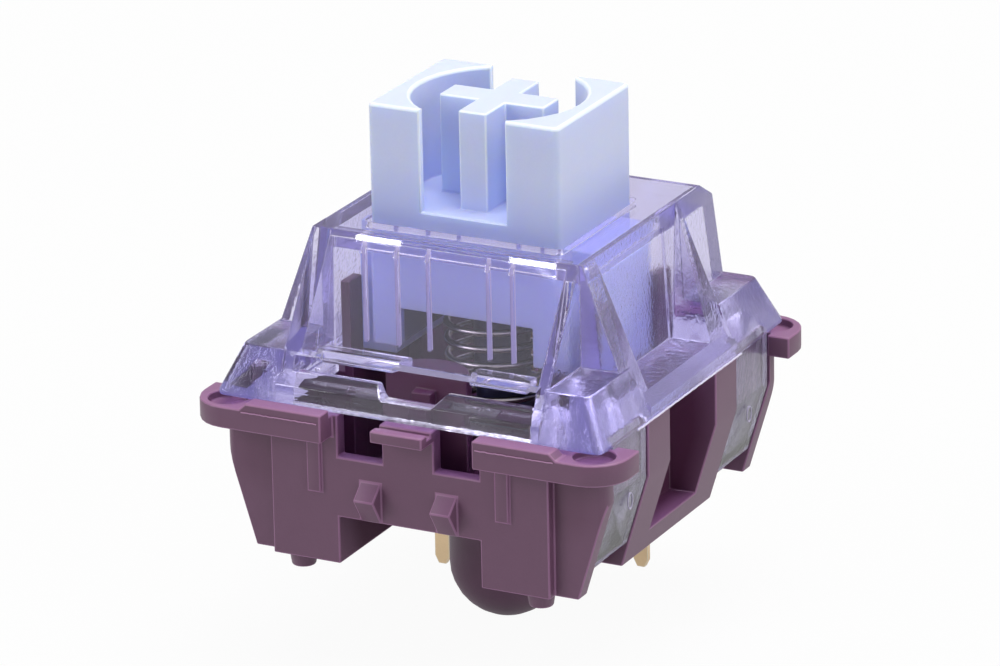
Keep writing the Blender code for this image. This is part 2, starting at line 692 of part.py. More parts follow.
def latch_leg(side_x, side_y):
    """Return one leg that hangs down the body's side, with the hook that holds the housings together."""
    low, high = BODY_BOTTOM + LEG_TIP_HEIGHT, BASE_UNDERSIDE + SINK
    outer = side_profile(LEG_INSET, low, high)
    inner = side_profile(LEG_INSET + LEG_THICKNESS, low, high)
    leg = prism("latch leg", signed(outer + inner[::-1], side_x), "Y", *leg_span(side_y))
    hook_low = BODY_BOTTOM + HOOK_RISE
    root = taper_x(hook_low) - LEG_INSET - LEG_THICKNESS
    hook = [
        (root + SINK, hook_low - SINK),
        (root, hook_low),
        (root - HOOK_DEPTH + SEAT_GAP, hook_low + HOOK_HEIGHT * 0.6),
        (root - HOOK_DEPTH + SEAT_GAP, hook_low + HOOK_HEIGHT),
        (root + SKIN, hook_low + HOOK_HEIGHT),
    ]
    add(leg, prism("hook", signed(hook, side_x), "Y", *leg_span(side_y, -SINK)))
    return settle(leg)


def front_nose():
    """Return the sloped front with the lip that stands before its light slot."""
    face = RIM_HALF
    lip_top = RIM_TOP + FRONT_LIP_RISE
    outline = [
        (-TOP_FRONT + SKIN, TOP_PLANE),
        (-TOP_FRONT, TOP_PLANE),
        (-front_line(lip_top + SLOT_HEIGHT), lip_top + SLOT_HEIGHT),
        (-face + FRONT_LIP_DEPTH, lip_top),
        (-face, lip_top - FRONT_LIP_CHAMFER),
        (-face, BASE_UNDERSIDE),
        (-TOP_FRONT + SKIN, BASE_UNDERSIDE),
    ]
    return prism("nose", outline, "X", -NOSE_HALF, NOSE_HALF)


def add_front_details(shell):
    """Cut the light slot and the lip's dip, and add the ledges and ribs behind the front."""
    lip_top = RIM_TOP + FRONT_LIP_RISE
    slot_y = (-REACH, -front_line(lip_top + SLOT_HEIGHT) + NOSE_SKIN + SINK)
    cut(shell, block("light slot", (-LIP_HALF, LIP_HALF), slot_y, (lip_top, lip_top + SLOT_HEIGHT)))
    dip = [
        (-DIP_HALF - DIP_FLARE, lip_top + SINK),
        (-DIP_HALF, lip_top - DIP_DEPTH),
        (DIP_HALF, lip_top - DIP_DEPTH),
        (DIP_HALF + DIP_FLARE, lip_top + SINK),
    ]
    cut(shell, prism("lip dip", dip, "Y", -REACH, slot_y[1]))
    slot_top = lip_top + SLOT_HEIGHT
    ledge_top = slot_top + LEDGE_RISE
    ledge_front = -front_line(ledge_top) + LEDGE_SET
    for shares in LEDGE_SHARES:
        left, right, right_back = [NOSE_HALF * share for share in shares]
        ledge = [
            (left, ledge_front),
            (right, ledge_front),
            (right_back, ledge_front + LEDGE_LENGTH),
            (left, ledge_front + LEDGE_LENGTH),
        ]
        add(shell, prism("ledge", ledge, "Z", ledge_top - LEDGE_THICKNESS, ledge_top))
    bar_z = (FLANGE_TOP + BOSS_RISE + SLIDE_GAP, TOP_PLANE - NOSE_ROOF + SINK)
    for share in BAR_SHARES:
        middle = NOSE_HALF * share
        x = (middle - BAR_WIDTH / 2, middle + BAR_WIDTH / 2)
        add(shell, block("light bar", x, (-TOP_FRONT, BAR_DEPTH - TOP_FRONT), bar_z))


def top_housing():
    """Return the clear upper moulding."""
    def plan(height, back):
        half = side_line(height)
        return rectangle((-half, half), (-TOP_FRONT, back))

    knee = TOP_PLANE - BACK_CHAMFER_HEIGHT
    shell = loft("top_housing", [
        (BASE_UNDERSIDE, plan(BASE_UNDERSIDE, back_line(BASE_UNDERSIDE))),
        (knee, plan(knee, back_line(knee))),
        (TOP_PLANE, plan(TOP_PLANE, TOP_BACK - BACK_CHAMFER_WIDTH)),
    ])
    add(shell, base_rim())
    add(shell, front_nose())
    for side in (-1, 1):
        add(shell, corner_fin(side, front=True))
        add(shell, corner_fin(side, front=False))
        for side_y in (-1, 1):
            add(shell, corner_block(side, side_y))

    inner_low = side_line(BASE_UNDERSIDE) - SKIN
    inner_high = side_line(PLATE_UNDERSIDE) - SKIN
    front = -TOP_FRONT + SKIN
    cut(shell, loft("room", [
        (BASE_UNDERSIDE - SINK, rectangle((-inner_low, inner_low), (front, back_line(BASE_UNDERSIDE) - SKIN))),
        (PLATE_UNDERSIDE, rectangle((-inner_high, inner_high), (front, back_line(PLATE_UNDERSIDE) - SKIN))),
    ]))
    roof = TOP_PLANE - NOSE_ROOF
    nose_room = [
        (front + SINK, roof),
        (-front_line(roof) + NOSE_SKIN, roof),
        (-front_line(RIM_TOP) + NOSE_SKIN, RIM_TOP),
        (-front_line(RIM_TOP) + NOSE_SKIN, BASE_UNDERSIDE - SINK),
        (front + SINK, BASE_UNDERSIDE - SINK),
    ]
    cut(shell, prism("nose room", nose_room, "X", -NOSE_HALF + SKIN, NOSE_HALF - SKIN))
    add_front_details(shell)
    for side in (-1, 1):
        panel_low, panel_high = RIM_TOP, TOP_PLANE - PANEL_MARGIN
        panel = [
            (side_line(panel_low) - PANEL_DEPTH, panel_low),
            (side_line(panel_high) - PANEL_DEPTH, panel_high),
            (side_line(panel_high) + SINK, panel_high),
            (side_line(panel_low) + SINK, panel_low),
        ]
        cut(shell, prism("mould panel", signed(panel, side), "Y", -PANEL_HALF, PANEL_HALF))
        for side_y in (-1, 1):
            add(shell, latch_leg(side, side_y))
    opening = rounded_rectangle(STEM_HALF_X + OPENING_GAP, STEM_HALF_Y + OPENING_GAP, STEM_RADIUS)
    cut(shell, prism("stem opening", opening, "Z", PLATE_UNDERSIDE - SINK, TOP_PLANE + SINK))
    return settle(shell)


def leaf_front():
    """Return the Y of the leaf's front face at rest."""
    return LEAF_PIN.y - SHEET / 2 - SEAT_GAP - LEAF_SHEET


def leaf_hinge():
    """Return the height of the line that the leaf bends about."""
    return FLOOR + 2 * SLIDE_GAP


def cam_face(height):
    """Return the Y that keeps a cam leg clear of the swinging leaf over the whole travel."""
    above = height - leaf_hinge()
    widest = min(above / 2, TRAVEL)
    return leaf_front() - SEAT_GAP - LEAF_RATE * widest * (above - widest) * 1.01


def cam_leg(side):
    """Return one of the two stem legs that hold the contact leaf back."""
    low = FLOOR + TRAVEL + CAM_FOOT_CLEARANCE
    high = low + CAM_LENGTH
    outline = [
        (HOLLOW_HALF_Y - SINK, low),
        (cam_face(low), low),
        (cam_face(high), high),
        (STEM_HALF_Y - SINK, high + CAM_LENGTH / 2),
        (HOLLOW_HALF_Y - SINK, high + CAM_LENGTH / 2),
    ]
    middle = CAM_CENTRE * side
    return prism("cam leg", outline, "X", middle - CAM_WIDTH / 2, middle + CAM_WIDTH / 2)


def stem():
    """Return the slider with its cross, walls, skirt, rails, pole and cam legs."""
    platform = TOP_PLANE + STEM_STANDOUT
    cross_top = platform + CROSS_HEIGHT
    crown = cross_top + WALL_LEAD
    skirt = TOP_PLANE - SKIRT_DROP
    roof = platform - STEM_ROOF - 2 * WALL
    leg_foot = FLOOR + TRAVEL + LEG_FOOT_CLEARANCE
    piece = prism("stem", rounded_rectangle(STEM_HALF_X, STEM_HALF_Y, STEM_RADIUS), "Z", leg_foot, crown)
    cut(piece, block("keycap slot", (-SLOT_HALF, SLOT_HALF), (-REACH, REACH), (platform, REACH)))
    clearance = STEM_HALF_Y + KEYCAP_CLEARANCE
    cut(piece, cylinder("keycap clearance", (0, 0), clearance, (platform, crown + SINK)))
    cut(piece, block("hollow", (-HOLLOW_HALF_X, HOLLOW_HALF_X), (-HOLLOW_HALF_Y, HOLLOW_HALF_Y),
                     (leg_foot - SINK, roof)))
    cut(piece, block("skirt gap", (-HOLLOW_HALF_X, HOLLOW_HALF_X), (-REACH, REACH), (leg_foot - SINK, skirt)))
    sunk = platform - SINK
    bar_y = (-CROSS_ARM_Y / 2, CROSS_ARM_Y / 2)
    arm_x = (-CROSS_ARM_X / 2, CROSS_ARM_X / 2)
    add(piece, block("cross bar", (-CROSS_HALF_X, CROSS_HALF_X), bar_y, (sunk, cross_top)))
    add(piece, block("cross arm", arm_x, (-CROSS_HALF_Y, CROSS_HALF_Y), (sunk, cross_top)))
    for side in (-1, 1):
        rail_z = (FLOOR + TRAVEL + RAIL_FOOT_CLEARANCE, PLATE_UNDERSIDE - SLIDE_GAP)
        add(piece, block("rail", mirrored((RAIL_INNER, RAIL_OUTER), side), (-RAIL_HALF_Y, RAIL_HALF_Y), rail_z))
        add(piece, cam_leg(side))
    tip = pole_tip()
    profile = [
        (0.0, tip),
        (POLE_RADIUS - POLE_CHAMFER, tip),
        (POLE_RADIUS, tip + POLE_CHAMFER),
        (POLE_RADIUS, roof + SINK),
        (0.0, roof + SINK),
    ]
    add(piece, turned("pole", profile, ROUND_STEPS))
    return settle(piece)


def spring_points():
    """Return the helix: closed turns at both ends and open turns between."""
    low = FLOOR + SEAT_GAP + WIRE_RADIUS
    roof = TOP_PLANE + STEM_STANDOUT - STEM_ROOF - 2 * WALL
    high = roof - SEAT_GAP - WIRE_RADIUS
    open_turns = SPRING_TURNS - 2
    open_pitch = (high - low - 2 * CLOSED_PITCH) / open_turns
    radius = SPRING_RADIUS - WIRE_RADIUS
    points = []
    for index in range(int(SPRING_TURNS * STEPS_PER_TURN) + 1):
        turn = index / STEPS_PER_TURN
        first = min(turn, 1.0)
        last = max(turn - 1.0 - open_turns, 0.0)
        height = low + (first + last) * CLOSED_PITCH + (turn - first - last) * open_pitch
        angle = 2 * math.pi * turn
        points.append((radius * math.cos(angle), radius * math.sin(angle), height))
    return points


def return_spring():
    """Return the coil spring as a round wire along its helix."""
    curve = bpy.data.curves.new("return_spring", "CURVE")
    curve.dimensions = "3D"
    curve.bevel_depth = WIRE_RADIUS
    curve.bevel_resolution = 2
    curve.use_fill_caps = True
    points = spring_points()
    spline = curve.splines.new("POLY")
    spline.points.add(len(points) - 1)
    for target, point in zip(spline.points, points):
        target.co = (*point, 1.0)
    piece = bpy.data.objects.new("return_spring", curve)
    parts.objects.link(piece)
    return piece


def pin_outline(middle, top):
    """Return a pin's X and Z outline, with its tip's corners taken off."""
    half = PIN_WIDTH / 2
    return [
        (middle - half, top),
        (middle - half, PIN_TIP + 2 * PIN_CHAMFER),
        (middle - half + PIN_CHAMFER, PIN_TIP),
        (middle + half - PIN_CHAMFER, PIN_TIP),
        (middle + half, PIN_TIP + 2 * PIN_CHAMFER),
        (middle + half, top),
    ]


def fixed_contact():
    """Return the stamped plate that faces the leaf and ends in the first pin."""
    low = FLOOR + SEAT_GAP
    pin_left = FIXED_PIN.x - PIN_WIDTH / 2
    foot_top = FLOOR + FIXED_FOOT_HEIGHT
    tongue_top = FLOOR + FIXED_TONGUE_HEIGHT
    sheet_y = (FIXED_PLATE - SHEET / 2, FIXED_PLATE + SHEET / 2)
    outline = [
        (pin_left, low),
        (FIXED_FOOT_END, low),
        (FIXED_FOOT_END, foot_top),
        (FIXED_TONGUE_HALF, foot_top + FIXED_FOOT_HEIGHT),
        (FIXED_TONGUE_HALF, tongue_top),
        (-FIXED_TONGUE_HALF, tongue_top),
        (-FIXED_TONGUE_HALF, foot_top + FIXED_FOOT_HEIGHT),
        (-FIXED_FOOT_END, foot_top),
        (pin_left, foot_top),
    ]
    plate = prism("fixed_contact", outline, "Y", *sheet_y)
    pin_y = (FIXED_PIN.y - SHEET / 2, FIXED_PIN.y + SHEET / 2)
    tab_x = (pin_left, FIXED_PIN.x + PIN_WIDTH / 2)
    add(plate, block("tab", tab_x, (pin_y[0], sheet_y[0] + SHEET / 2), (low, low + SHEET)))
    add(plate, prism("pin", pin_outline(FIXED_PIN.x, low + SHEET / 2), "Y", *pin_y))
    return settle(plate)


def leaf_terminal():
    """Return the stamped plate behind the leaf that ends in the second pin."""
    low = FLOOR + SEAT_GAP
    right = LEAF_PIN.x + PIN_WIDTH / 2
    sheet_y = (LEAF_PIN.y - SHEET / 2, LEAF_PIN.y + SHEET / 2)
    plate = block("leaf_terminal", (-LEAF_HALF, right), sheet_y, (low, FLOOR + LEAF_TERMINAL_HEIGHT))
    add(plate, prism("pin", pin_outline(LEAF_PIN.x, low + SHEET), "Y", *sheet_y))
    return settle(plate)


def contact_leaf():
    """Return the forked leaf: two arms for the cam legs and a tongue for the contact point."""
    low = FLOOR + SLIDE_GAP
    foot_top = FLOOR + LEAF_FOOT_HEIGHT
    tongue_top = FLOOR + LEAF_TONGUE_HEIGHT
    arm_top = FLOOR + LEAF_ARM_HEIGHT
    arm_inner = LEAF_HALF - LEAF_ARM_WIDTH
    right = [
        (LEAF_HALF, low),
        (LEAF_HALF, arm_top),
        (arm_inner, arm_top),
        (arm_inner, foot_top),
        (LEAF_TONGUE_HALF, foot_top),
        (LEAF_TONGUE_HALF, tongue_top),
    ]
    outline = right + [(-x, z) for x, z in reversed(right)]
    front = leaf_front()
    return prism("contact_leaf", outline, "Y", front, front + LEAF_SHEET)


def contact_point(name, face, direction):
    """Return a small welded point that stands on a face at Y, towards +1 or -1."""
    shape = bmesh.new()
    base = face + direction * SEAT_GAP / 5
    tip = base + direction * POINT_REACH
    turn = Matrix.Rotation(math.radians(-90 * direction), 4, "X")
    centre = Matrix.Translation((0.0, (base + tip) / 2, FLOOR + POINT_HEIGHT))
    bmesh.ops.create_cone(
        shape,
        cap_ends=True,
        segments=ROUND_STEPS // 2,
        radius1=POINT_RADIUS,
        radius2=POINT_RADIUS * 0.7,
        depth=POINT_REACH,
        matrix=centre @ turn,
    )
    return as_piece(name, shape)


def place_on_axis(piece, x, y, z):
    """Move a piece's origin to a point on its joint's axis without moving its shape."""
    shift = Vector((x, y, z))
    piece.data.transform(Matrix.Translation(-shift))
    piece.location = shift


def shade(piece, material, smooth=False):
    """Give a piece its material and its shading."""
    piece.data.materials.clear()
    piece.data.materials.append(material)
    if not smooth:
        for polygon in piece.data.polygons:
            polygon.use_smooth = False


def build():
    """Build every piece of the switch."""
    plum = finish("plum plastic", (0.174, 0.085, 0.147), 0.45)
    clear = finish("clear lavender plastic", (0.38, 0.34, 0.62), 0.06, alpha=0.45)
    pale = finish("pale blue plastic", (0.53, 0.6, 0.84), 0.35)
    steel = finish("spring steel", (0.55, 0.52, 0.5), 0.25, metallic=1.0)
    gold = finish("gold plated brass", (0.72, 0.5, 0.22), 0.3, metallic=1.0)
    copper = finish("copper alloy leaf", (0.7, 0.42, 0.24), 0.3, metallic=1.0)
    silver = finish("silver alloy point", (0.8, 0.78, 0.74), 0.25, metallic=1.0)

    shade(bottom_housing(), plum)
    shade(top_housing(), clear)
    slider = stem()
    shade(slider, pale)
    shade(return_spring(), steel, smooth=True)
    shade(fixed_contact(), gold)
    shade(contact_point("fixed_contact_point", FIXED_PLATE + SHEET / 2, 1), silver)
    shade(leaf_terminal(), gold)
    leaf = contact_leaf()
    shade(leaf, copper)
    leaf_point = contact_point("leaf_contact_point", leaf_front(), -1)
    shade(leaf_point, silver)

    place_on_axis(slider, 0.0, 0.0, TOP_PLANE)
    for swinging in (leaf, leaf_point):
        place_on_axis(swinging, 0.0, leaf_front() + LEAF_SHEET / 2, leaf_hinge())


for old in list(bpy.data.objects):
    bpy.data.objects.remove(old)
parts = new_collection("keyboard switch")
cutters = new_collection("cutters", hidden=True)
build()
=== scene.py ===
"""Dresses the mechanical keyboard switch for a studio picture.

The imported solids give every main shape. This script rounds their edges, winds the spring
finely, adds the small moulding details, gives each piece its finish, and sets the camera,
the lamps and the floor. Lengths are in metres.
"""

from __future__ import annotations

import logging
import math
from collections.abc import Callable
from dataclasses import dataclass
from enum import Enum
from functools import cache

import bmesh
import bpy
from mathutils import Matrix, Vector

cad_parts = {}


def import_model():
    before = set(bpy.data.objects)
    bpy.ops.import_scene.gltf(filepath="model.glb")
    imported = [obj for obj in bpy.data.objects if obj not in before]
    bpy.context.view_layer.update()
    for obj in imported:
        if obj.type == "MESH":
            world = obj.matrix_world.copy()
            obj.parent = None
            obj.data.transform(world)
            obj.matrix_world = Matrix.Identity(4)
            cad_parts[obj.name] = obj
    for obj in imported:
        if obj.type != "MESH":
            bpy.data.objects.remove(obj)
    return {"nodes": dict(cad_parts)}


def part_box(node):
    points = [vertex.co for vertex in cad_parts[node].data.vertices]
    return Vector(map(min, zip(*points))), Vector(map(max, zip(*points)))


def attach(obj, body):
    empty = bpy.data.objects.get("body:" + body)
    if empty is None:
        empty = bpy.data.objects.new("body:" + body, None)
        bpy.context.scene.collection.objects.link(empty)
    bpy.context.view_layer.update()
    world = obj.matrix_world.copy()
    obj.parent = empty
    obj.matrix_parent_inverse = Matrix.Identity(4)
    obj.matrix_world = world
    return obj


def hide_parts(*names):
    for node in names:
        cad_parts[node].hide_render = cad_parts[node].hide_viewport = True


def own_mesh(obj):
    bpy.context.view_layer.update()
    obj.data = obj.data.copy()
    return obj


log = logging.getLogger("switch_scene")

Triple = tuple[float, float, float]
Socket = bpy.types.NodeSocket

MM = 0.001
ROUNDED = "rounded"
# The attribute and power of the painted sheen on faces that look up.
UP_SHEEN = "up_sheen"
UP_SHEEN_POWER = 4
ZONE_LOW_SOFT = 0.05 * MM
FLAT_TURN = math.cos(math.radians(1.5))


class Body(Enum):
    """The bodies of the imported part."""

    HOUSING = "housing"
    SLIDER = "slider"
    LEAF = "leaf"


class Slot(Enum):
    """The record's material slots."""

    PLUM = "plum_plastic"
    CLEAR = "clear_plastic"
    PALE = "pale_plastic"
    STEEL = "spring_steel"
    BRASS = "plated_brass"
    ALLOY = "contact_alloy"
    COPPER = "copper_alloy"


class Graph:
    """Adds nodes and links to one node tree, from left to right."""

    step = 180

    def __init__(self, tree: bpy.types.NodeTree) -> None:
        """Start an empty graph in a tree."""
        self.tree = tree
        self.count = 0

    def add(self, kind: str, **settings: object) -> bpy.types.Node:
        """Add one node.

        Args:
            kind: The node's Blender type name.
            settings: Attributes to set on it.

        Returns:
            The new node.
        """
        node = self.tree.nodes.new(kind)
        node.location = (self.step * self.count, 0)
        self.count += 1
        for name, value in settings.items():
            setattr(node, name, value)
        return node

    def feed(self, node: bpy.types.Node, socket: str | int, value: object) -> None:
        """Link a socket's output to an input, or set the input to a plain value.

        Args:
            node: The node that takes the value.
            socket: The name or number of its input.
            value: An output socket, or a plain value.
        """
        target = node.inputs[socket]
        if isinstance(value, bpy.types.NodeSocket):
            self.tree.links.new(value, target)
        else:
            target.default_value = value

    def math(self, operation: str, *values: object, clamp: bool = False) -> Socket:
        """Add a math node.

        Args:
            operation: The operation's Blender name.
            values: The sockets or numbers that it works on.
            clamp: Whether the result is held between 0 and 1.

        Returns:
            The result's socket.
        """
        node = self.add("ShaderNodeMath", operation=operation, use_clamp=clamp)
        for index, value in enumerate(values):
            self.feed(node, index, value)
        return node.outputs[0]

    def mix(self, factor: object, first: object, second: object) -> Socket:
        """Add a node that mixes two colours.

        Args:
            factor: The second colour's share.
            first: The colour at 0.
            second: The colour at 1.

        Returns:
            The mixed colour's socket.
        """
        node = self.add("ShaderNodeMix", data_type="RGBA")
        self.feed(node, 0, factor)
        self.feed(node, 6, first)
        self.feed(node, 7, second)
        return node.outputs[2]

    def share(self, value: object, whole: object) -> Socket:
        """Return a value over a whole, held between 0 and 1."""
        return self.math("DIVIDE", value, whole, clamp=True)


def rgba(colour: Triple) -> tuple[float, float, float, float]:
    """Return a colour with full alpha."""
    return (*colour, 1.0)


def new_group(
    name: str, kind: str, inputs: dict[str, str], outputs: dict[str, str]
) -> tuple[bpy.types.NodeTree, Graph, bpy.types.bpy_prop_collection]:
    """Start a node group with named sockets.

    Args:
        name: The group's name.
        kind: Shader or Geometry.
        inputs: Each input's name with its kind, such as Float.
        outputs: Each output's name with its kind.

    Returns:
        The group, its graph, and the sockets that give its inputs.
    """
    tree = bpy.data.node_groups.new(name, f"{kind}NodeTree")
    for direction, sockets in (("INPUT", inputs), ("OUTPUT", outputs)):
        for socket, value in sockets.items():
            tree.interface.new_socket(socket, in_out=direction, socket_type=f"NodeSocket{value}")
    graph = Graph(tree)
    return tree, graph, graph.add("NodeGroupInput").outputs


@cache
def mould_grain() -> bpy.types.NodeTree:
    """Make the shader group for a fine moulded grain.

    Returns:
        The group, which gives a bump height and a brightness.
    """
    broad_scale, broad_detail, fine_detail, speck_weight = 0.08, 3.0, 2.0, 1.5
    tree, graph, given = new_group(
        "mould_grain",
        "Shader",
        {"Size": "Float", "Tone": "Float"},
        {"Height": "Float", "Brightness": "Float"},
    )
    place = graph.add("ShaderNodeTexCoord")
    scale = graph.math("DIVIDE", 1.0, given["Size"])
    fine = graph.add("ShaderNodeTexNoise", noise_dimensions="3D")
    graph.feed(fine, "Vector", place.outputs["Object"])
    graph.feed(fine, "Scale", scale)
    graph.feed(fine, "Detail", fine_detail)
    broad = graph.add("ShaderNodeTexNoise", noise_dimensions="3D")
    graph.feed(broad, "Vector", place.outputs["Object"])
    graph.feed(broad, "Scale", graph.math("MULTIPLY", scale, broad_scale))
    graph.feed(broad, "Detail", broad_detail)
    swing = graph.math("SUBTRACT", broad.outputs["Fac"], 0.5)
    speck = graph.math("SUBTRACT", fine.outputs["Fac"], 0.5)
    both = graph.math("ADD", swing, graph.math("MULTIPLY", speck, speck_weight))
    outputs = graph.add("NodeGroupOutput")
    graph.feed(outputs, "Height", fine.outputs["Fac"])
    graph.feed(outputs, "Brightness", graph.math("MULTIPLY_ADD", both, given["Tone"], 1.0))
    return tree


@cache
def zone_mask() -> bpy.types.NodeTree:
    """Make the shader group for a soft-edged box that may narrow downwards.

    Returns:
        The group, which gives 1 inside the box and 0 outside.
    """
    names = ("Half X", "Half Y", "Low", "High", "Side Soft", "High Soft", "Taper", "Taper Top")
    inputs = {name: "Float" for name in names}
    tree, graph, given = new_group("zone_mask", "Shader", inputs, {"Mask": "Float"})
    axes = graph.add("ShaderNodeSeparateXYZ")
    graph.feed(axes, 0, graph.add("ShaderNodeTexCoord").outputs["Object"])
    drop = graph.math("SUBTRACT", given["Taper Top"], axes.outputs["Z"])
    narrower = graph.math("MULTIPLY", graph.math("MAXIMUM", drop, 0.0), given["Taper"])

    def side(axis: str, half: str) -> Socket:
        """Return how far inside the box's two sides a point lies, from 0 to 1."""
        away = graph.math("ADD", graph.math("ABSOLUTE", axes.outputs[axis]), narrower)
        return graph.share(graph.math("SUBTRACT", given[half], away), given["Side Soft"])

    over = graph.math("SUBTRACT", axes.outputs["Z"], given["Low"])
    under = graph.math("SUBTRACT", given["High"], axes.outputs["Z"])
    across = graph.math("MULTIPLY", side("X", "Half X"), side("Y", "Half Y"))
    along = graph.math(
        "MULTIPLY", graph.share(over, ZONE_LOW_SOFT), graph.share(under, given["High Soft"])
    )
    outputs = graph.add("NodeGroupOutput")
    graph.feed(outputs, "Mask", graph.math("MULTIPLY", across, along))
    return tree


@cache
def painted_sheen_tint() -> bpy.types.NodeTree:
    """Make the shader group that paints a highlight on rounded edges and a sheen on faces that look
    up.

    Returns:
        The group, which gives the colour with its painted sheen and painted highlight.
    """
    inputs = {"Face": "Color", "Top": "Color", "Edge": "Color", "Brightness": "Float"}
    tree, graph, given = new_group("painted_sheen_tint", "Shader", inputs, {"Color": "Color"})
    up_sheen = graph.add("ShaderNodeAttribute", attribute_name=UP_SHEEN)
    edge_highlight = graph.add("ShaderNodeAttribute", attribute_name=ROUNDED)
    # Painted sheen on faces that look up, then painted highlight on rounded edges.
    colour = graph.mix(up_sheen.outputs["Fac"], given["Face"], given["Top"])
    colour = graph.mix(edge_highlight.outputs["Fac"], colour, given["Edge"])
    bright = graph.add("ShaderNodeVectorMath", operation="SCALE")
    graph.feed(bright, 0, colour)
    graph.feed(bright, "Scale", given["Brightness"])
    graph.feed(graph.add("NodeGroupOutput"), "Color", bright.outputs[0])
    return tree


@dataclass(frozen=True)
class Zone:
    """A soft-edged box around the stem's axis, where a surface changes. Its colour, where it has
    one, is painted shade or painted glow.
    """

    half: tuple[float, float]
    low: float
    high: float
    side_soft: float
    high_soft: float
    colour: Triple = (0.0, 0.0, 0.0)
    taper: float = 0.0
    taper_top: float = 0.0

    def mask(self, graph: Graph) -> Socket:
        """Add the zone's mask to a material.

        Args:
            graph: The material's graph.

        Returns:
            The mask's socket: 1 inside and 0 outside.
        """
        node = graph.add("ShaderNodeGroup", node_tree=zone_mask())
        values = {
            "Half X": self.half[0],
            "Half Y": self.half[1],
            "Low": self.low,
            "High": self.high,
            "Side Soft": self.side_soft,
            "High Soft": self.high_soft,
            "Taper": self.taper,
            "Taper Top": self.taper_top,
        }
        for name, value in values.items():
            graph.feed(node, name, value)
        return node.outputs["Mask"]


@dataclass(frozen=True)
class Finish:
    """How one moulded or metal surface looks."""

    slot: Slot
    colour: Triple
    # Painted highlight: the colour that the rounded edges get.
    edge: Triple
    roughness: float
    metallic: float = 0.0
    grain_size: float = 0.05 * MM
    grain_depth: float = 0.0
    tone: float = 0.06
    subsurface: float = 0.0
    scatter: Triple = (0.3 * MM, 0.45 * MM, 1.0 * MM)
    # Painted sheen: the colour that faces which look up get.
    top: Triple | None = None
    # Boxes where painted shade or painted glow replaces the colour.
    zones: tuple[Zone, ...] = ()
    name: str = ""


@dataclass(frozen=True)
class Glass:
    """How the clear moulding looks."""

    slot: Slot = Slot.CLEAR
    colour: Triple = (0.86, 0.84, 0.95)
    depth_colour: Triple = (0.46, 0.4, 0.84)
    # Painted light: the glow given where light is mirrored inside too often to be followed.
    painted_glow: Triple = (0.2, 0.19, 0.22)
    bounces: float = 3.5
    shade: Triple = (0.42, 0.38, 0.54)
    density: float = 190.0
    haze: float = 0.02
    roughness: float = 0.02
    frosted: float = 0.16
    grain_size: float = 0.14 * MM
    grain_depth: float = 0.02 * MM
    polished: Zone = Zone((4.95 * MM, 9.0 * MM), 9.45 * MM, 20.0 * MM, 0.2 * MM, 1.0 * MM)
    index: float = 1.5


# Painted shade: the plum inside the housing's outer walls is much darker.
PLUM_HOLLOW_SHADE = Zone(
    (6.9 * MM, 6.9 * MM),
    3.9 * MM,
    20.0 * MM,
    0.8 * MM,
    1.0 * MM,
    (0.085, 0.024, 0.06),
    taper=0.306,
    taper_top=6.65 * MM,
)
# Painted shade: the stem is darker and bluer towards its base.
STEM_BASE_SHADE = Zone((9.0 * MM, 9.0 * MM), 0.0, 16.6 * MM, 1.0 * MM, 2.2 * MM, (0.5, 0.56, 0.88))
# Painted light: the recess around the cross glows a brighter blue, as if lit through the plastic.
STEM_RECESS_GLOW = Zone(
    (2.75 * MM, 1.85 * MM), 14.95 * MM, 18.4 * MM, 0.5 * MM, 2.6 * MM, (0.62, 0.7, 0.98)
)
# Painted shade: the stem's hollow inside is almost black.
STEM_HOLLOW_SHADE = Zone(
    (2.6 * MM, 2.25 * MM), 0.0, 13.9 * MM, 0.12 * MM, 0.3 * MM, (0.07, 0.075, 0.12)
)
# The plum's edge colour is a painted highlight, its top colour a painted sheen, and its zone painted
# shade.
PLUM = Finish(
    Slot.PLUM,
    (0.148, 0.067, 0.125),
    (0.27, 0.125, 0.24),
    0.42,
    top=(0.24, 0.108, 0.22),
    grain_depth=0.005 * MM,
    zones=(PLUM_HOLLOW_SHADE,),
)
# The stem's edge colour is a painted highlight; its zones paint shade at the base and in the hollow,
# and glow in the recess.
PALE = Finish(
    Slot.PALE,
    (0.6, 0.65, 0.86),
    (0.74, 0.79, 0.92),
    0.33,
    grain_size=0.08 * MM,
    grain_depth=0.0015 * MM,
    tone=0.03,
    subsurface=0.5,
    zones=(STEM_BASE_SHADE, STEM_RECESS_GLOW, STEM_HOLLOW_SHADE),
)
MARK = Finish(
    Slot.CLEAR, (0.4, 0.36, 0.5), (0.4, 0.36, 0.5), 0.3, tone=0.1, name="mould_mark"
)
# Pale dull clear plastic: frosted flash along the rim, and painted light on the bars behind the
# slope.
FROST_AND_BAR_LIGHT = Finish(
    Slot.CLEAR, (0.74, 0.7, 0.86), (0.8, 0.77, 0.9), 0.4, tone=0.1, name="frosted_and_lit_clear"
)
PLUM_FLASH = Finish(
    Slot.PLUM, (0.42, 0.22, 0.38), (0.42, 0.22, 0.38), 0.4, name="plum_flash"
)
# Each metal's edge colour is a painted highlight on its rounded edges.
STEEL = Finish(Slot.STEEL, (0.46, 0.43, 0.38), (0.6, 0.56, 0.5), 0.24, metallic=1.0)
BRASS = Finish(Slot.BRASS, (0.95, 0.72, 0.45), (0.97, 0.84, 0.62), 0.36, metallic=1.0)
ALLOY = Finish(Slot.ALLOY, (0.8, 0.78, 0.74), (0.9, 0.88, 0.84), 0.25, metallic=1.0)
COPPER = Finish(Slot.COPPER, (0.76, 0.5, 0.32), (0.86, 0.6, 0.4), 0.3, metallic=1.0)


def new_material(name: str) -> tuple[bpy.types.Material, Graph, bpy.types.Node]:
    """Start a material.

    Args:
        name: The material's name.

    Returns:
        The material, its graph and its output node.
    """
    material = bpy.data.materials.new(name)
    material.use_nodes = True
    material.node_tree.nodes.clear()
    graph = Graph(material.node_tree)
    return material, graph, graph.add("ShaderNodeOutputMaterial")


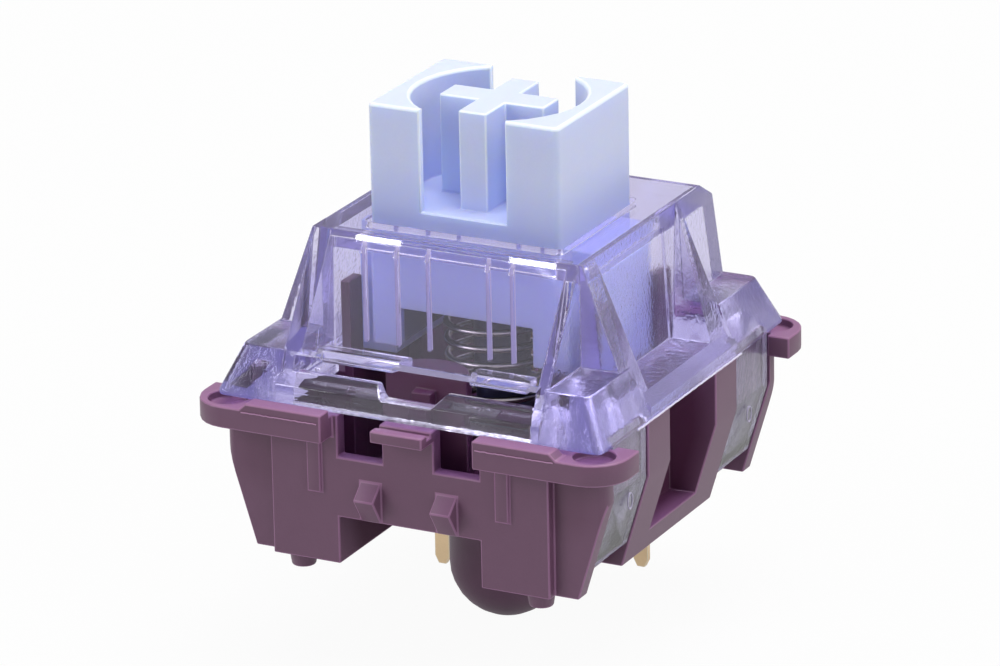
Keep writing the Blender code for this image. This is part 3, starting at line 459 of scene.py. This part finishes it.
@cache
def surface(finish: Finish) -> bpy.types.Material:
    """Make the material of a moulded or metal finish, once.

    Args:
        finish: The finish's colours, grain and gloss.

    Returns:
        The material.
    """
    material, graph, output = new_material(finish.name or f"{finish.slot.value}_finish")
    grain = graph.add("ShaderNodeGroup", node_tree=mould_grain())
    graph.feed(grain, "Size", finish.grain_size)
    graph.feed(grain, "Tone", finish.tone)
    # Painted sheen on faces that look up and painted highlight on rounded edges.
    tint = graph.add("ShaderNodeGroup", node_tree=painted_sheen_tint())
    graph.feed(tint, "Face", rgba(finish.colour))
    graph.feed(tint, "Top", rgba(finish.top or finish.colour))
    graph.feed(tint, "Edge", rgba(finish.edge))
    graph.feed(tint, "Brightness", grain.outputs["Brightness"])
    colour = tint.outputs["Color"]
    # The zones paint shade and glow into the colour by place.
    for zone in finish.zones:
        colour = graph.mix(zone.mask(graph), colour, rgba(zone.colour))
    shader = graph.add("ShaderNodeBsdfPrincipled")
    graph.feed(shader, "Base Color", colour)
    graph.feed(shader, "Roughness", finish.roughness)
    graph.feed(shader, "Metallic", finish.metallic)
    if finish.subsurface:
        graph.feed(shader, "Subsurface Weight", finish.subsurface)
        graph.feed(shader, "Subsurface Radius", finish.scatter)
        graph.feed(shader, "Subsurface Scale", 1.0)
    if finish.grain_depth:
        bump = graph.add("ShaderNodeBump")
        graph.feed(bump, "Height", grain.outputs["Height"])
        graph.feed(bump, "Distance", finish.grain_depth)
        graph.feed(shader, "Normal", bump.outputs["Normal"])
    graph.feed(output, "Surface", shader.outputs[0])
    return material


def clear_surface(glass: Glass) -> bpy.types.Material:
    """Make the clear plastic, which lets light through to what it covers.

    Args:
        glass: The moulding's colours, depth and gloss. It glows with a painted light colour
        where light has been mirrored inside it more times than its bounces.

    Returns:
        The material.
    """
    material, graph, output = new_material(f"{glass.slot.value}_finish")
    shader = graph.add("ShaderNodeBsdfPrincipled")
    graph.feed(shader, "Base Color", rgba(glass.colour))
    dull = graph.math("SUBTRACT", 1.0, glass.polished.mask(graph))
    span = glass.frosted - glass.roughness
    graph.feed(shader, "Roughness", graph.math("MULTIPLY_ADD", dull, span, glass.roughness))
    grain = graph.add("ShaderNodeGroup", node_tree=mould_grain())
    graph.feed(grain, "Size", glass.grain_size)
    graph.feed(grain, "Tone", 0.0)
    bump = graph.add("ShaderNodeBump")
    graph.feed(bump, "Height", graph.math("MULTIPLY", dull, grain.outputs["Height"]))
    graph.feed(bump, "Distance", glass.grain_depth)
    graph.feed(shader, "Normal", bump.outputs["Normal"])
    graph.feed(shader, "Metallic", 0.0)
    graph.feed(shader, "IOR", glass.index)
    graph.feed(shader, "Transmission Weight", 1.0 - glass.haze)
    path = graph.add("ShaderNodeLightPath")
    # Painted light: the glass glows after more reflections than the renderer follows.
    held = graph.math("GREATER_THAN", path.outputs["Glossy Depth"], glass.bounces)
    glow = graph.mix(held, rgba((0.0, 0.0, 0.0)), rgba(glass.painted_glow))
    graph.feed(shader, "Emission Color", glow)
    graph.feed(shader, "Emission Strength", 1.0)
    through = graph.add("ShaderNodeBsdfTransparent")
    graph.feed(through, "Color", rgba(glass.shade))
    choice = graph.add("ShaderNodeMixShader")
    graph.feed(choice, 0, path.outputs["Is Shadow Ray"])
    graph.feed(choice, 1, shader.outputs[0])
    graph.feed(choice, 2, through.outputs[0])
    graph.feed(output, "Surface", choice.outputs[0])
    depth = graph.add("ShaderNodeVolumeAbsorption")
    graph.feed(depth, "Color", rgba(glass.depth_colour))
    graph.feed(depth, "Density", glass.density)
    graph.feed(output, "Volume", depth.outputs[0])
    return material


@dataclass(frozen=True)
class Rounding:
    """How a piece's sharp edges are rounded."""

    width: float
    segments: int = 2
    sharp: float = math.radians(28)
    crease: float = math.radians(2)
    broad: float = 0.8 * MM
    share: float = 0.42
    onward: float = math.cos(math.radians(50))
    merged: float = 1e-7
    level: float = math.radians(0.3)


def edge_width(edge: bmesh.types.BMEdge, wanted: float, rounding: Rounding) -> float:
    """Return the widest rounding that the edge's neighbours leave room for.

    Args:
        edge: The edge to round.
        wanted: The width to have where there is room.
        rounding: The share of a neighbour to use, and how straight on a neighbour runs that
            only continues the edge and so takes none of its room.

    Returns:
        The width, at most the wanted one.
    """
    room = wanted / rounding.share
    for vert in edge.verts:
        along = (vert.co - edge.other_vert(vert).co).normalized()
        for other in vert.link_edges:
            if other is edge:
                continue
            leaving = (other.other_vert(vert).co - vert.co).normalized()
            if along.dot(leaving) < rounding.onward:
                room = min(room, other.calc_length())
    return rounding.share * room


def is_crease(edge: bmesh.types.BMEdge, rounding: Rounding) -> bool:
    """Return whether an edge parts two flat faces, and not two steps of a curve.

    Args:
        edge: The edge, too blunt to be rounded.
        rounding: The least angle of a crease, and how broad a flat face is.

    Returns:
        True for a crease.
    """
    if edge.calc_face_angle(0.0) < rounding.crease:
        return False
    widest = max(face.calc_area() for face in edge.link_faces) / edge.calc_length()
    return widest > rounding.broad


def merged_shape(mesh: bpy.types.Mesh, rounding: Rounding) -> bmesh.types.BMesh:
    """Return a mesh's shape with its loose triangles merged into whole faces.

    Args:
        mesh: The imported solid's mesh.
        rounding: How near two points are merged, and how level two faces are.

    Returns:
        The shape, for the caller to free.
    """
    shape = bmesh.new()
    shape.from_mesh(mesh)
    bmesh.ops.remove_doubles(shape, verts=shape.verts, dist=rounding.merged)
    bmesh.ops.dissolve_limit(
        shape, angle_limit=rounding.level, verts=shape.verts, edges=shape.edges
    )
    return shape


def rounded_copy(
    node: bpy.types.Object,
    name: str,
    rounding: Rounding,
    width_at: Callable[[Vector], float] | None = None,
) -> bpy.types.Object:
    """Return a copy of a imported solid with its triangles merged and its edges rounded.

    Args:
        node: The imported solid.
        name: The new piece's name.
        rounding: The width, steps and angle of the rounding.
        width_at: Gives another width by the middle of an edge, where one is wanted.

    Returns:
        The new piece, whose rounded faces carry the rounded attribute.
    """
    mesh = node.data.copy()
    mesh.materials.clear()
    shape = merged_shape(mesh, rounding)
    weights = shape.edges.layers.float.new("bevel_weight_edge")
    largest = rounding.width
    if width_at:
        largest = max([largest] + [width_at(vert.co) for vert in shape.verts])
    for edge in shape.edges:
        if len(edge.link_faces) != 2:
            continue
        if edge.calc_face_angle(0.0) < rounding.sharp:
            edge.smooth = not is_crease(edge, rounding)
            continue
        middle = (edge.verts[0].co + edge.verts[1].co) / 2
        wanted = width_at(middle) if width_at else rounding.width
        edge[weights] = edge_width(edge, wanted, rounding) / largest
    shape.to_mesh(mesh)
    shape.free()
    piece = linked(bpy.data.objects.new(name, mesh))
    mesh.materials.append(None)
    mesh.materials.append(None)
    bevel = piece.modifiers.new("rounding", "BEVEL")
    bevel.width = largest
    bevel.segments = rounding.segments
    bevel.limit_method = "WEIGHT"
    bevel.use_clamp_overlap = False
    bevel.material = 1
    mesh.polygons.foreach_set("use_smooth", [True] * len(mesh.polygons))
    flat = piece.modifiers.new("flat_faces", "WEIGHTED_NORMAL")
    flat.weight = 100
    flat.keep_sharp = True
    bake(piece)
    flatten_normals(piece.data)
    mark_rounded(piece.data)
    return piece


def flatten_normals(mesh: bpy.types.Mesh) -> None:
    """Make faces that shade almost flat shade quite flat, so that they mirror truly.

    Args:
        mesh: The piece's baked mesh.
    """
    normals = [corner.vector.copy() for corner in mesh.corner_normals]
    for face in mesh.polygons:
        if all(normals[index].dot(face.normal) > FLAT_TURN for index in face.loop_indices):
            for index in face.loop_indices:
                normals[index] = face.normal.copy()
    mesh.normals_split_custom_set(normals)


def mark_rounded(mesh: bpy.types.Mesh) -> None:
    """Write which faces are rounded edges and how much each looks up, for the painted highlight and
    the painted sheen, and leave the piece one material.

    Args:
        mesh: The baked mesh, whose rounded faces have the second material.
    """
    # Painted sheen share: the more a face looks up, the lighter it is painted.
    masks = {
        ROUNDED: [float(face.material_index == 1) for face in mesh.polygons],
        UP_SHEEN: [max(0.0, face.normal.z) ** UP_SHEEN_POWER for face in mesh.polygons],
    }
    for name, values in masks.items():
        layer = mesh.attributes.new(name, "FLOAT", "FACE")
        layer.data.foreach_set("value", values)
    mesh.polygons.foreach_set("material_index", [0] * len(mesh.polygons))
    mesh.materials.clear()


def bake(piece: bpy.types.Object) -> None:
    """Turn a piece's modifiers into its mesh.

    Args:
        piece: The piece, whose modifiers are removed.
    """
    graph = bpy.context.evaluated_depsgraph_get()
    baked = bpy.data.meshes.new_from_object(piece.evaluated_get(graph), depsgraph=graph)
    piece.modifiers.clear()
    piece.data = baked
    baked.name = piece.name


def linked(piece: bpy.types.Object) -> bpy.types.Object:
    """Put an object into the scene and return it."""
    bpy.context.scene.collection.objects.link(piece)
    return piece


def new_piece(name: str, shape: bmesh.types.BMesh) -> bpy.types.Object:
    """Make an object of a shape.

    Args:
        name: The object's name.
        shape: The shape, which is freed.

    Returns:
        The new object.
    """
    mesh = bpy.data.meshes.new(name)
    shape.to_mesh(mesh)
    shape.free()
    return linked(bpy.data.objects.new(name, mesh))


def dress(piece: bpy.types.Object, body: Body, finish: Finish | Glass, *nodes: str) -> None:
    """Give a piece its material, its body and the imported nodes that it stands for.

    Args:
        piece: The piece.
        body: The body that it rides on.
        finish: Its finish.
        nodes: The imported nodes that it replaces.
    """
    material = clear_surface(finish) if isinstance(finish, Glass) else surface(finish)
    piece.data.materials.clear()
    piece.data.materials.append(material)
    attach(piece, body.value)
    if nodes:
        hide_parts(*nodes)
    log.info("%s: %d faces", piece.name, len(piece.data.polygons))


def sweep_wire(graph: Graph, points: Socket, sides: object, given: object) -> None:
    """End a geometry group with a round wire along its points.

    Args:
        graph: The group's graph.
        points: The mesh line that the wire follows.
        sides: How many sides the wire's section has.
        given: The group's inputs, with a Wire radius and a Material.
    """
    path = graph.add("GeometryNodeMeshToCurve")
    graph.feed(path, "Mesh", points)
    section = graph.add("GeometryNodeCurvePrimitiveCircle")
    graph.feed(section, "Resolution", sides)
    graph.feed(section, "Radius", given["Wire"])
    tube = graph.add("GeometryNodeCurveToMesh")
    graph.feed(tube, "Curve", path.outputs[0])
    graph.feed(tube, "Profile Curve", section.outputs["Curve"])
    graph.feed(tube, "Fill Caps", True)
    real = graph.add("GeometryNodeRealizeInstances")
    graph.feed(real, 0, tube.outputs[0])
    painted = graph.add("GeometryNodeSetMaterial")
    graph.feed(painted, "Geometry", real.outputs[0])
    graph.feed(painted, "Material", given["Material"])
    graph.feed(graph.add("NodeGroupOutput"), "Geometry", painted.outputs[0])


def grown(name: str, tree: bpy.types.NodeTree, values: dict[str, object]) -> bpy.types.Object:
    """Make a piece with a geometry group, and bake it.

    Args:
        name: The piece's name.
        tree: The geometry group.
        values: The values of its named inputs.

    Returns:
        The new piece.
    """
    piece = linked(bpy.data.objects.new(name, bpy.data.meshes.new(name)))
    modifier = piece.modifiers.new(tree.name, "NODES")
    modifier.node_group = tree
    for item in tree.interface.items_tree:
        if item.item_type == "SOCKET" and item.in_out == "INPUT" and item.name in values:
            modifier[item.identifier] = values[item.name]
    bake(piece)
    return piece


@dataclass(frozen=True)
class RingMark:
    """An upright oval ring, the mark that a mould's pin leaves."""

    place: Triple
    tube: float = 0.028 * MM
    across: float = 0.17 * MM
    tall: float = 0.27 * MM
    steps: int = 24
    sides: int = 8

    def section(self, shape: bmesh.types.BMesh, turn: float) -> list[bmesh.types.BMVert]:
        """Add the ring's round section at one angle.

        Args:
            shape: The shape to add to.
            turn: The angle round the ring.

        Returns:
            The section's points.
        """
        out = Vector((0, math.cos(turn), math.sin(turn)))
        middle = Vector(self.place) + Vector((0, self.across * out.y, self.tall * out.z))
        points = []
        for side in range(self.sides):
            lean = 2 * math.pi * side / self.sides
            offset = math.cos(lean) * out + Vector((math.sin(lean), 0, 0))
            points.append(shape.verts.new(middle + self.tube * offset))
        return points

    def build(self, name: str) -> bpy.types.Object:
        """Make the ring.

        Args:
            name: The piece's name.

        Returns:
            The new piece.
        """
        shape = bmesh.new()
        turns = [2 * math.pi * step / self.steps for step in range(self.steps)]
        rings = [self.section(shape, turn) for turn in turns]
        for here, there in zip(rings, rings[1:] + rings[:1]):
            for side in range(self.sides):
                after = (side + 1) % self.sides
                shape.faces.new((here[side], here[after], there[after], there[side]))
        bmesh.ops.recalc_face_normals(shape, faces=shape.faces)
        return new_piece(name, shape)


@cache
def flash_group() -> bpy.types.NodeTree:
    """Make the geometry group for a thin ragged line of flash.

    Returns:
        The group.
    """
    wave, sides = 0.37, 6
    inputs = {
        "Start": "Vector",
        "End": "Vector",
        "Count": "Int",
        "Wire": "Float",
        "Stray": "Float",
        "Seed": "Float",
        "Material": "Material",
    }
    tree, graph, given = new_group("flash_line", "Geometry", inputs, {"Geometry": "Geometry"})
    line = graph.add("GeometryNodeMeshLine", mode="END_POINTS")
    graph.feed(line, "Count", given["Count"])
    graph.feed(line, "Start Location", given["Start"])
    graph.feed(line, "Offset", given["End"])
    index = graph.add("GeometryNodeInputIndex").outputs[0]
    noise = graph.add("ShaderNodeTexNoise", noise_dimensions="1D")
    graph.feed(noise, "W", graph.math("MULTIPLY_ADD", index, wave, given["Seed"]))
    graph.feed(noise, "Scale", 1.0)
    centred = graph.add("ShaderNodeVectorMath", operation="SUBTRACT")
    graph.feed(centred, 0, noise.outputs["Color"])
    graph.feed(centred, 1, (0.5, 0.5, 0.5))
    stray = graph.add("ShaderNodeVectorMath", operation="SCALE")
    graph.feed(stray, 0, centred.outputs[0])
    graph.feed(stray, "Scale", given["Stray"])
    moved = graph.add("GeometryNodeSetPosition")
    graph.feed(moved, "Geometry", line.outputs[0])
    graph.feed(moved, "Offset", stray.outputs[0])
    sweep_wire(graph, moved.outputs[0], sides, given)
    return tree


@dataclass(frozen=True)
class Flash:
    """A thin ragged line of flash along a parting edge."""

    start: Triple
    end: Triple
    radius: float
    stray: float = 0.05 * MM
    step: float = 0.07 * MM
    fewest: int = 8
    seed_scale: float = 1000.0

    def build(self, name: str, finish: Finish) -> bpy.types.Object:
        """Make the line.

        Args:
            name: The piece's name.
            finish: The finish that it gets.

        Returns:
            The new piece.
        """
        length = (Vector(self.end) - Vector(self.start)).length
        values = {
            "Start": self.start,
            "End": self.end,
            "Count": max(self.fewest, round(length / self.step)),
            "Wire": self.radius,
            "Stray": self.stray,
            "Seed": self.seed_scale * sum(self.start),
            "Material": surface(finish),
        }
        return grown(name, flash_group(), values)


@dataclass(frozen=True)
class BottomHousing:
    """The plum moulding with the flange, the catches and the locating post."""

    rounding: Rounding = Rounding(0.055 * MM)
    flash_reach: float = 7.815 * MM
    flash_height: float = 8.98 * MM
    flash_radius: float = 0.02 * MM
    flash_spans: tuple[tuple[float, float], ...] = (
        (-5.7 * MM, -2.9 * MM),
        (2.9 * MM, 5.7 * MM),
    )

    def build(self, nodes: dict[str, bpy.types.Object]) -> None:
        """Build and dress the bottom housing.

        Args:
            nodes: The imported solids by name.
        """
        piece = rounded_copy(nodes["bottom_housing"], "bottom_shell", self.rounding)
        dress(piece, Body.HOUSING, PLUM, "bottom_housing")
        for index, (left, right) in enumerate(self.flash_spans):
            start = (left, -self.flash_reach, self.flash_height)
            end = (right, -self.flash_reach, self.flash_height)
            flash = Flash(start, end, self.flash_radius)
            dress(flash.build(f"lug_flash_{index}", PLUM_FLASH), Body.HOUSING, PLUM_FLASH)


@dataclass(frozen=True)
class TopHousing:
    """The clear moulding with the sloped front and the latch legs."""

    rounding: Rounding = Rounding(0.06 * MM)
    bar_middles: tuple[float, ...] = (-3.0 * MM, -1.8 * MM, -0.65 * MM, 1.55 * MM, 2.43 * MM)
    bar_half: Triple = (0.07 * MM, 0.01 * MM, 1.75 * MM)
    bar_place: tuple[float, float] = (-3.835 * MM, 12.3 * MM)
    marks: tuple[RingMark, ...] = (
        RingMark((6.93 * MM, -4.72 * MM, 6.8 * MM)),
        RingMark((6.93 * MM, 4.43 * MM, 6.66 * MM)),
    )
    flash: Flash = Flash(
        (7.04 * MM, -4.3 * MM, 9.12 * MM), (7.04 * MM, 3.6 * MM, 9.12 * MM), 0.035 * MM
    )

    def build(self, nodes: dict[str, bpy.types.Object]) -> None:
        """Build and dress the top housing.

        Args:
            nodes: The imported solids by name.
        """
        piece = rounded_copy(nodes["top_housing"], "top_shell", self.rounding)
        dress(piece, Body.HOUSING, Glass(), "top_housing")
        self.bars()
        for index, mark in enumerate(self.marks):
            dress(mark.build(f"ejector_mark_{index}"), Body.HOUSING, MARK)
        dress(self.flash.build("rim_flash", FROST_AND_BAR_LIGHT), Body.HOUSING, FROST_AND_BAR_LIGHT)

    def bars(self) -> None:
        """Add pale dull strips on the bars behind the slope, painted light that makes the clear bars
        show bright.
        """
        shape = bmesh.new()
        for middle in self.bar_middles:
            made = bmesh.ops.create_cube(shape, size=2.0)["verts"]
            bmesh.ops.scale(shape, vec=self.bar_half, verts=made)
            bmesh.ops.translate(shape, vec=(middle, *self.bar_place), verts=made)
        dress(new_piece("bar_faces", shape), Body.HOUSING, FROST_AND_BAR_LIGHT)


@dataclass(frozen=True)
class Slider:
    """The pale stem with its cross."""

    rounding: Rounding = Rounding(0.06 * MM, segments=3)
    top_rounding: float = 0.12 * MM
    top_reach: float = 0.02 * MM

    def build(self, nodes: dict[str, bpy.types.Object]) -> None:
        """Build and dress the stem.

        Args:
            nodes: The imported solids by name.
        """
        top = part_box("stem")[1].z

        def width_at(place: Vector) -> float:
            """Return the rounding's width at a place: wider along the top."""
            return self.top_rounding if place.z > top - self.top_reach else self.rounding.width

        piece = rounded_copy(nodes["stem"], "stem_moulding", self.rounding, width_at)
        dress(piece, Body.SLIDER, PALE, "stem")


@dataclass(frozen=True)
class Spring:
    """The return spring, wound with fine steps."""

    turns: float = 13.5
    wire: float = 0.125 * MM
    closed_pitch: float = 2.16
    steps: int = 40
    sides: int = 10
    keep: float = 0.52

    def group(self) -> bpy.types.NodeTree:
        """Make the geometry group that winds a wire with closed end turns.

        Returns:
            The group.
        """
        inputs = {
            "Turns": "Float",
            "Steps": "Int",
            "Radius": "Float",
            "Wire": "Float",
            "Closed": "Float",
            "Low": "Float",
            "High": "Float",
            "Sides": "Int",
            "Material": "Material",
        }
        tree, graph, given = new_group(
            "wound_wire", "Geometry", inputs, {"Geometry": "Geometry"}
        )
        line = graph.add("GeometryNodeMeshLine")
        count = graph.math("MULTIPLY_ADD", given["Turns"], given["Steps"], 1.0)
        graph.feed(line, "Count", count)
        index = graph.add("GeometryNodeInputIndex").outputs[0]
        turn = graph.math("DIVIDE", index, given["Steps"])
        first = graph.math("MINIMUM", turn, 1.0)
        last_start = graph.math("SUBTRACT", given["Turns"], 1.0)
        last = graph.math("MAXIMUM", graph.math("SUBTRACT", turn, last_start), 0.0)
        closed = graph.math("ADD", first, last)
        opened = graph.math("SUBTRACT", turn, closed)
        closed_pitch = graph.math("MULTIPLY", given["Wire"], given["Closed"])
        ends = graph.math("MULTIPLY", closed_pitch, 2.0)
        span = graph.math("SUBTRACT", graph.math("SUBTRACT", given["High"], given["Low"]), ends)
        pitch = graph.math("DIVIDE", span, graph.math("SUBTRACT", given["Turns"], 2.0))
        height = graph.math("MULTIPLY_ADD", opened, pitch, given["Low"])
        height = graph.math("MULTIPLY_ADD", closed, closed_pitch, height)
        angle = graph.math("MULTIPLY", turn, 2 * math.pi)
        place = graph.add("ShaderNodeCombineXYZ")
        for axis, wave in (("X", "COSINE"), ("Y", "SINE")):
            graph.feed(place, axis, graph.math("MULTIPLY", graph.math(wave, angle), given["Radius"]))
        graph.feed(place, "Z", height)
        moved = graph.add("GeometryNodeSetPosition")
        graph.feed(moved, "Geometry", line.outputs[0])
        graph.feed(moved, "Position", place.outputs[0])
        sweep_wire(graph, moved.outputs[0], given["Sides"], given)
        return tree

    def build(self) -> None:
        """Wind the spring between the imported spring's two ends."""
        low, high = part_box("return_spring")
        values = {
            "Turns": self.turns,
            "Steps": self.steps,
            "Radius": high.x - self.wire,
            "Wire": self.wire,
            "Closed": self.closed_pitch,
            "Low": low.z + self.wire,
            "High": high.z - self.wire,
            "Sides": self.sides,
            "Material": surface(STEEL),
        }
        piece = grown("wound_spring", self.group(), values)
        piece.data.shade_smooth()
        dress(piece, Body.HOUSING, STEEL, "return_spring")
        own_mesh(piece)


@dataclass(frozen=True)
class Contacts:
    """The two terminals, the forked leaf and the two contact points."""

    rounding: Rounding = Rounding(0.03 * MM)

    def build(self, nodes: dict[str, bpy.types.Object]) -> None:
        """Build and dress the metal pieces.

        Args:
            nodes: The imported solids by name.
        """
        pieces = (
            ("fixed_contact", "fixed_plate", Body.HOUSING, BRASS),
            ("leaf_terminal", "leaf_plate", Body.HOUSING, BRASS),
            ("contact_leaf", "forked_leaf", Body.LEAF, COPPER),
            ("fixed_contact_point", "fixed_point", Body.HOUSING, ALLOY),
            ("leaf_contact_point", "leaf_point", Body.LEAF, ALLOY),
        )
        for node, name, body, finish in pieces:
            dress(rounded_copy(nodes[node], name, self.rounding), body, finish, node)


@dataclass(frozen=True)
class Lamp:
    """One square soft lamp."""

    name: str
    place: Triple
    size: float
    power: float

    def build(self, aim: Vector) -> bpy.types.Object:
        """Put up the lamp.

        Args:
            aim: The place that it faces.

        Returns:
            The lamp's object.
        """
        data = bpy.data.lights.new(self.name, "AREA")
        data.shape = "SQUARE"
        data.size = self.size
        data.energy = self.power
        lamp = linked(bpy.data.objects.new(self.name, data))
        lamp.location = self.place
        lamp.rotation_euler = (aim - Vector(self.place)).to_track_quat("-Z", "Y").to_euler()
        return lamp


@dataclass(frozen=True)
class Studio:
    """The camera, the lamps, the world and the floor."""

    azimuth: float = math.radians(27.369)
    elevation: float = math.radians(19.836)
    roll: float = math.radians(-1.133)
    distance: float = 210.783 * MM
    lens: float = 227.822
    sensor: float = 36.0
    nearest: float = 10.0 * MM
    aim_height: float = 10.0 * MM
    aim_side: float = -0.122 * MM
    lamp_aim: Triple = (0.0, 0.0, 9.0 * MM)
    soft_lamps: tuple[Lamp, ...] = (
        Lamp("overhead", (0.05, 0.06, 0.42), 0.34, 2.1),
        Lamp("right_fill", (0.42, -0.06, 0.24), 0.3, 0.7),
        Lamp("left_fill", (-0.34, -0.3, 0.2), 0.26, 0.95),
    )
    floor_size: float = 6.0
    floor_colour: Triple = (0.55, 0.55, 0.55)
    floor_glow: float = 0.95
    ambient: float = 0.22
    mirrored: float = 0.45
    slope_angle: float = math.atan(0.648)
    left_spot: Triple = (-2.5 * MM, -3.96 * MM, 14.4 * MM)
    right_spot: Triple = (3.25 * MM, -3.96 * MM, 14.4 * MM)
    glint_distance: float = 0.06
    glint_size: tuple[float, float] = (1.95 * MM, 0.26 * MM)
    glint_power: float = 0.00006

    def camera(self) -> Vector:
        """Place the camera where the photograph was taken from.

        Returns:
            The camera's place.
        """
        sin_a, cos_a = math.sin(self.azimuth), math.cos(self.azimuth)
        sin_e, cos_e = math.sin(self.elevation), math.cos(self.elevation)
        back = Vector((sin_a * cos_e, -cos_a * cos_e, sin_e))
        level = Vector((cos_a, sin_a, 0.0))
        above = back.cross(level)
        right = level * math.cos(self.roll) + above * math.sin(self.roll)
        up = above * math.cos(self.roll) - level * math.sin(self.roll)
        data = bpy.data.cameras.new("camera")
        data.lens = self.lens
        data.sensor_width = self.sensor
        data.clip_start = self.nearest
        camera = linked(bpy.data.objects.new("camera", data))
        camera.matrix_world = Matrix((right, up, back)).transposed().to_4x4()
        place = Vector((0, 0, self.aim_height)) + right * self.aim_side + back * self.distance
        camera.location = place
        bpy.context.scene.camera = camera
        return place

    def glints(self, eye: Vector) -> None:
        """Add two thin strip lamps that show as short glints in the sloped front.

        Args:
            eye: The camera's place.
        """
        slope = Vector((0.0, -math.cos(self.slope_angle), math.sin(self.slope_angle)))
        wide, thin = self.glint_size
        for name, corner in (("left_glint", self.left_spot), ("right_glint", self.right_spot)):
            spot = Vector(corner)
            view = (eye - spot).normalized()
            leaving = 2.0 * slope.dot(view) * slope - view
            place = tuple(spot + leaving * self.glint_distance)
            lamp = Lamp(name, place, wide, self.glint_power).build(spot)
            lamp.data.shape = "RECTANGLE"
            lamp.data.size_y = thin
            across = (Vector((1, 0, 0)) - leaving * leaving.x).normalized()
            turned = Matrix((across, leaving.cross(across), leaving)).transposed()
            lamp.rotation_euler = turned.to_euler()

    def lamps(self) -> None:
        """Light the switch softly from above and from both sides."""
        for lamp in self.soft_lamps:
            lamp.build(Vector(self.lamp_aim))

    def shown(self, graph: Graph, least: float) -> Socket:
        """Return how much of the white surround a ray meets.

        Args:
            graph: The graph to add the nodes to.
            least: The share that diffuse light meets.

        Returns:
            1 for rays that look or see through, the mirrored share for reflections.
        """
        path = graph.add("ShaderNodeLightPath").outputs
        seen = graph.math("MAXIMUM", path["Is Camera Ray"], path["Is Transmission Ray"])
        glossy = graph.math("MULTIPLY", path["Is Glossy Ray"], graph.math("SUBTRACT", 1.0, seen))
        share = graph.math("MULTIPLY_ADD", seen, 1.0 - least, least)
        return graph.math("MULTIPLY_ADD", glossy, self.mirrored - least, share)

    def world(self) -> None:
        """Set a white surround for the camera and a soft grey one for the light."""
        world = bpy.data.worlds.new("surround")
        bpy.context.scene.world = world
        world.use_nodes = True
        world.node_tree.nodes.clear()
        graph = Graph(world.node_tree)
        light = graph.add("ShaderNodeBackground")
        graph.feed(light, "Color", rgba((1.0, 1.0, 1.0)))
        graph.feed(light, "Strength", self.shown(graph, self.ambient))
        graph.feed(graph.add("ShaderNodeOutputWorld"), "Surface", light.outputs[0])

    def floor(self) -> None:
        """Lay a white floor that keeps a soft shadow."""
        shape = bmesh.new()
        bmesh.ops.create_grid(shape, x_segments=1, y_segments=1, size=self.floor_size / 2)
        piece = new_piece("floor", shape)
        material, graph, output = new_material("floor_paper")
        paper = graph.add("ShaderNodeBsdfDiffuse")
        graph.feed(paper, "Color", rgba(self.floor_colour))
        glow = graph.add("ShaderNodeEmission")
        graph.feed(glow, "Strength", 1.0)
        choice = graph.add("ShaderNodeMixShader")
        graph.feed(choice, 0, graph.math("MULTIPLY", self.shown(graph, 0.0), self.floor_glow))
        graph.feed(choice, 1, paper.outputs[0])
        graph.feed(choice, 2, glow.outputs[0])
        graph.feed(output, "Surface", choice.outputs[0])
        piece.data.materials.append(material)

    def build(self) -> None:
        """Set up the whole studio."""
        bpy.context.scene.view_settings.view_transform = "Standard"
        self.glints(self.camera())
        self.lamps()
        self.world()
        self.floor()


def main() -> None:
    """Build the dressed switch and its studio."""
    logging.basicConfig(level=logging.INFO, format="%(message)s")
    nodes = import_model()["nodes"]
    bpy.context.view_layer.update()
    BottomHousing().build(nodes)
    TopHousing().build(nodes)
    Slider().build(nodes)
    Spring().build()
    Contacts().build(nodes)
    Studio().build()


if __name__ == "__main__":
    main()
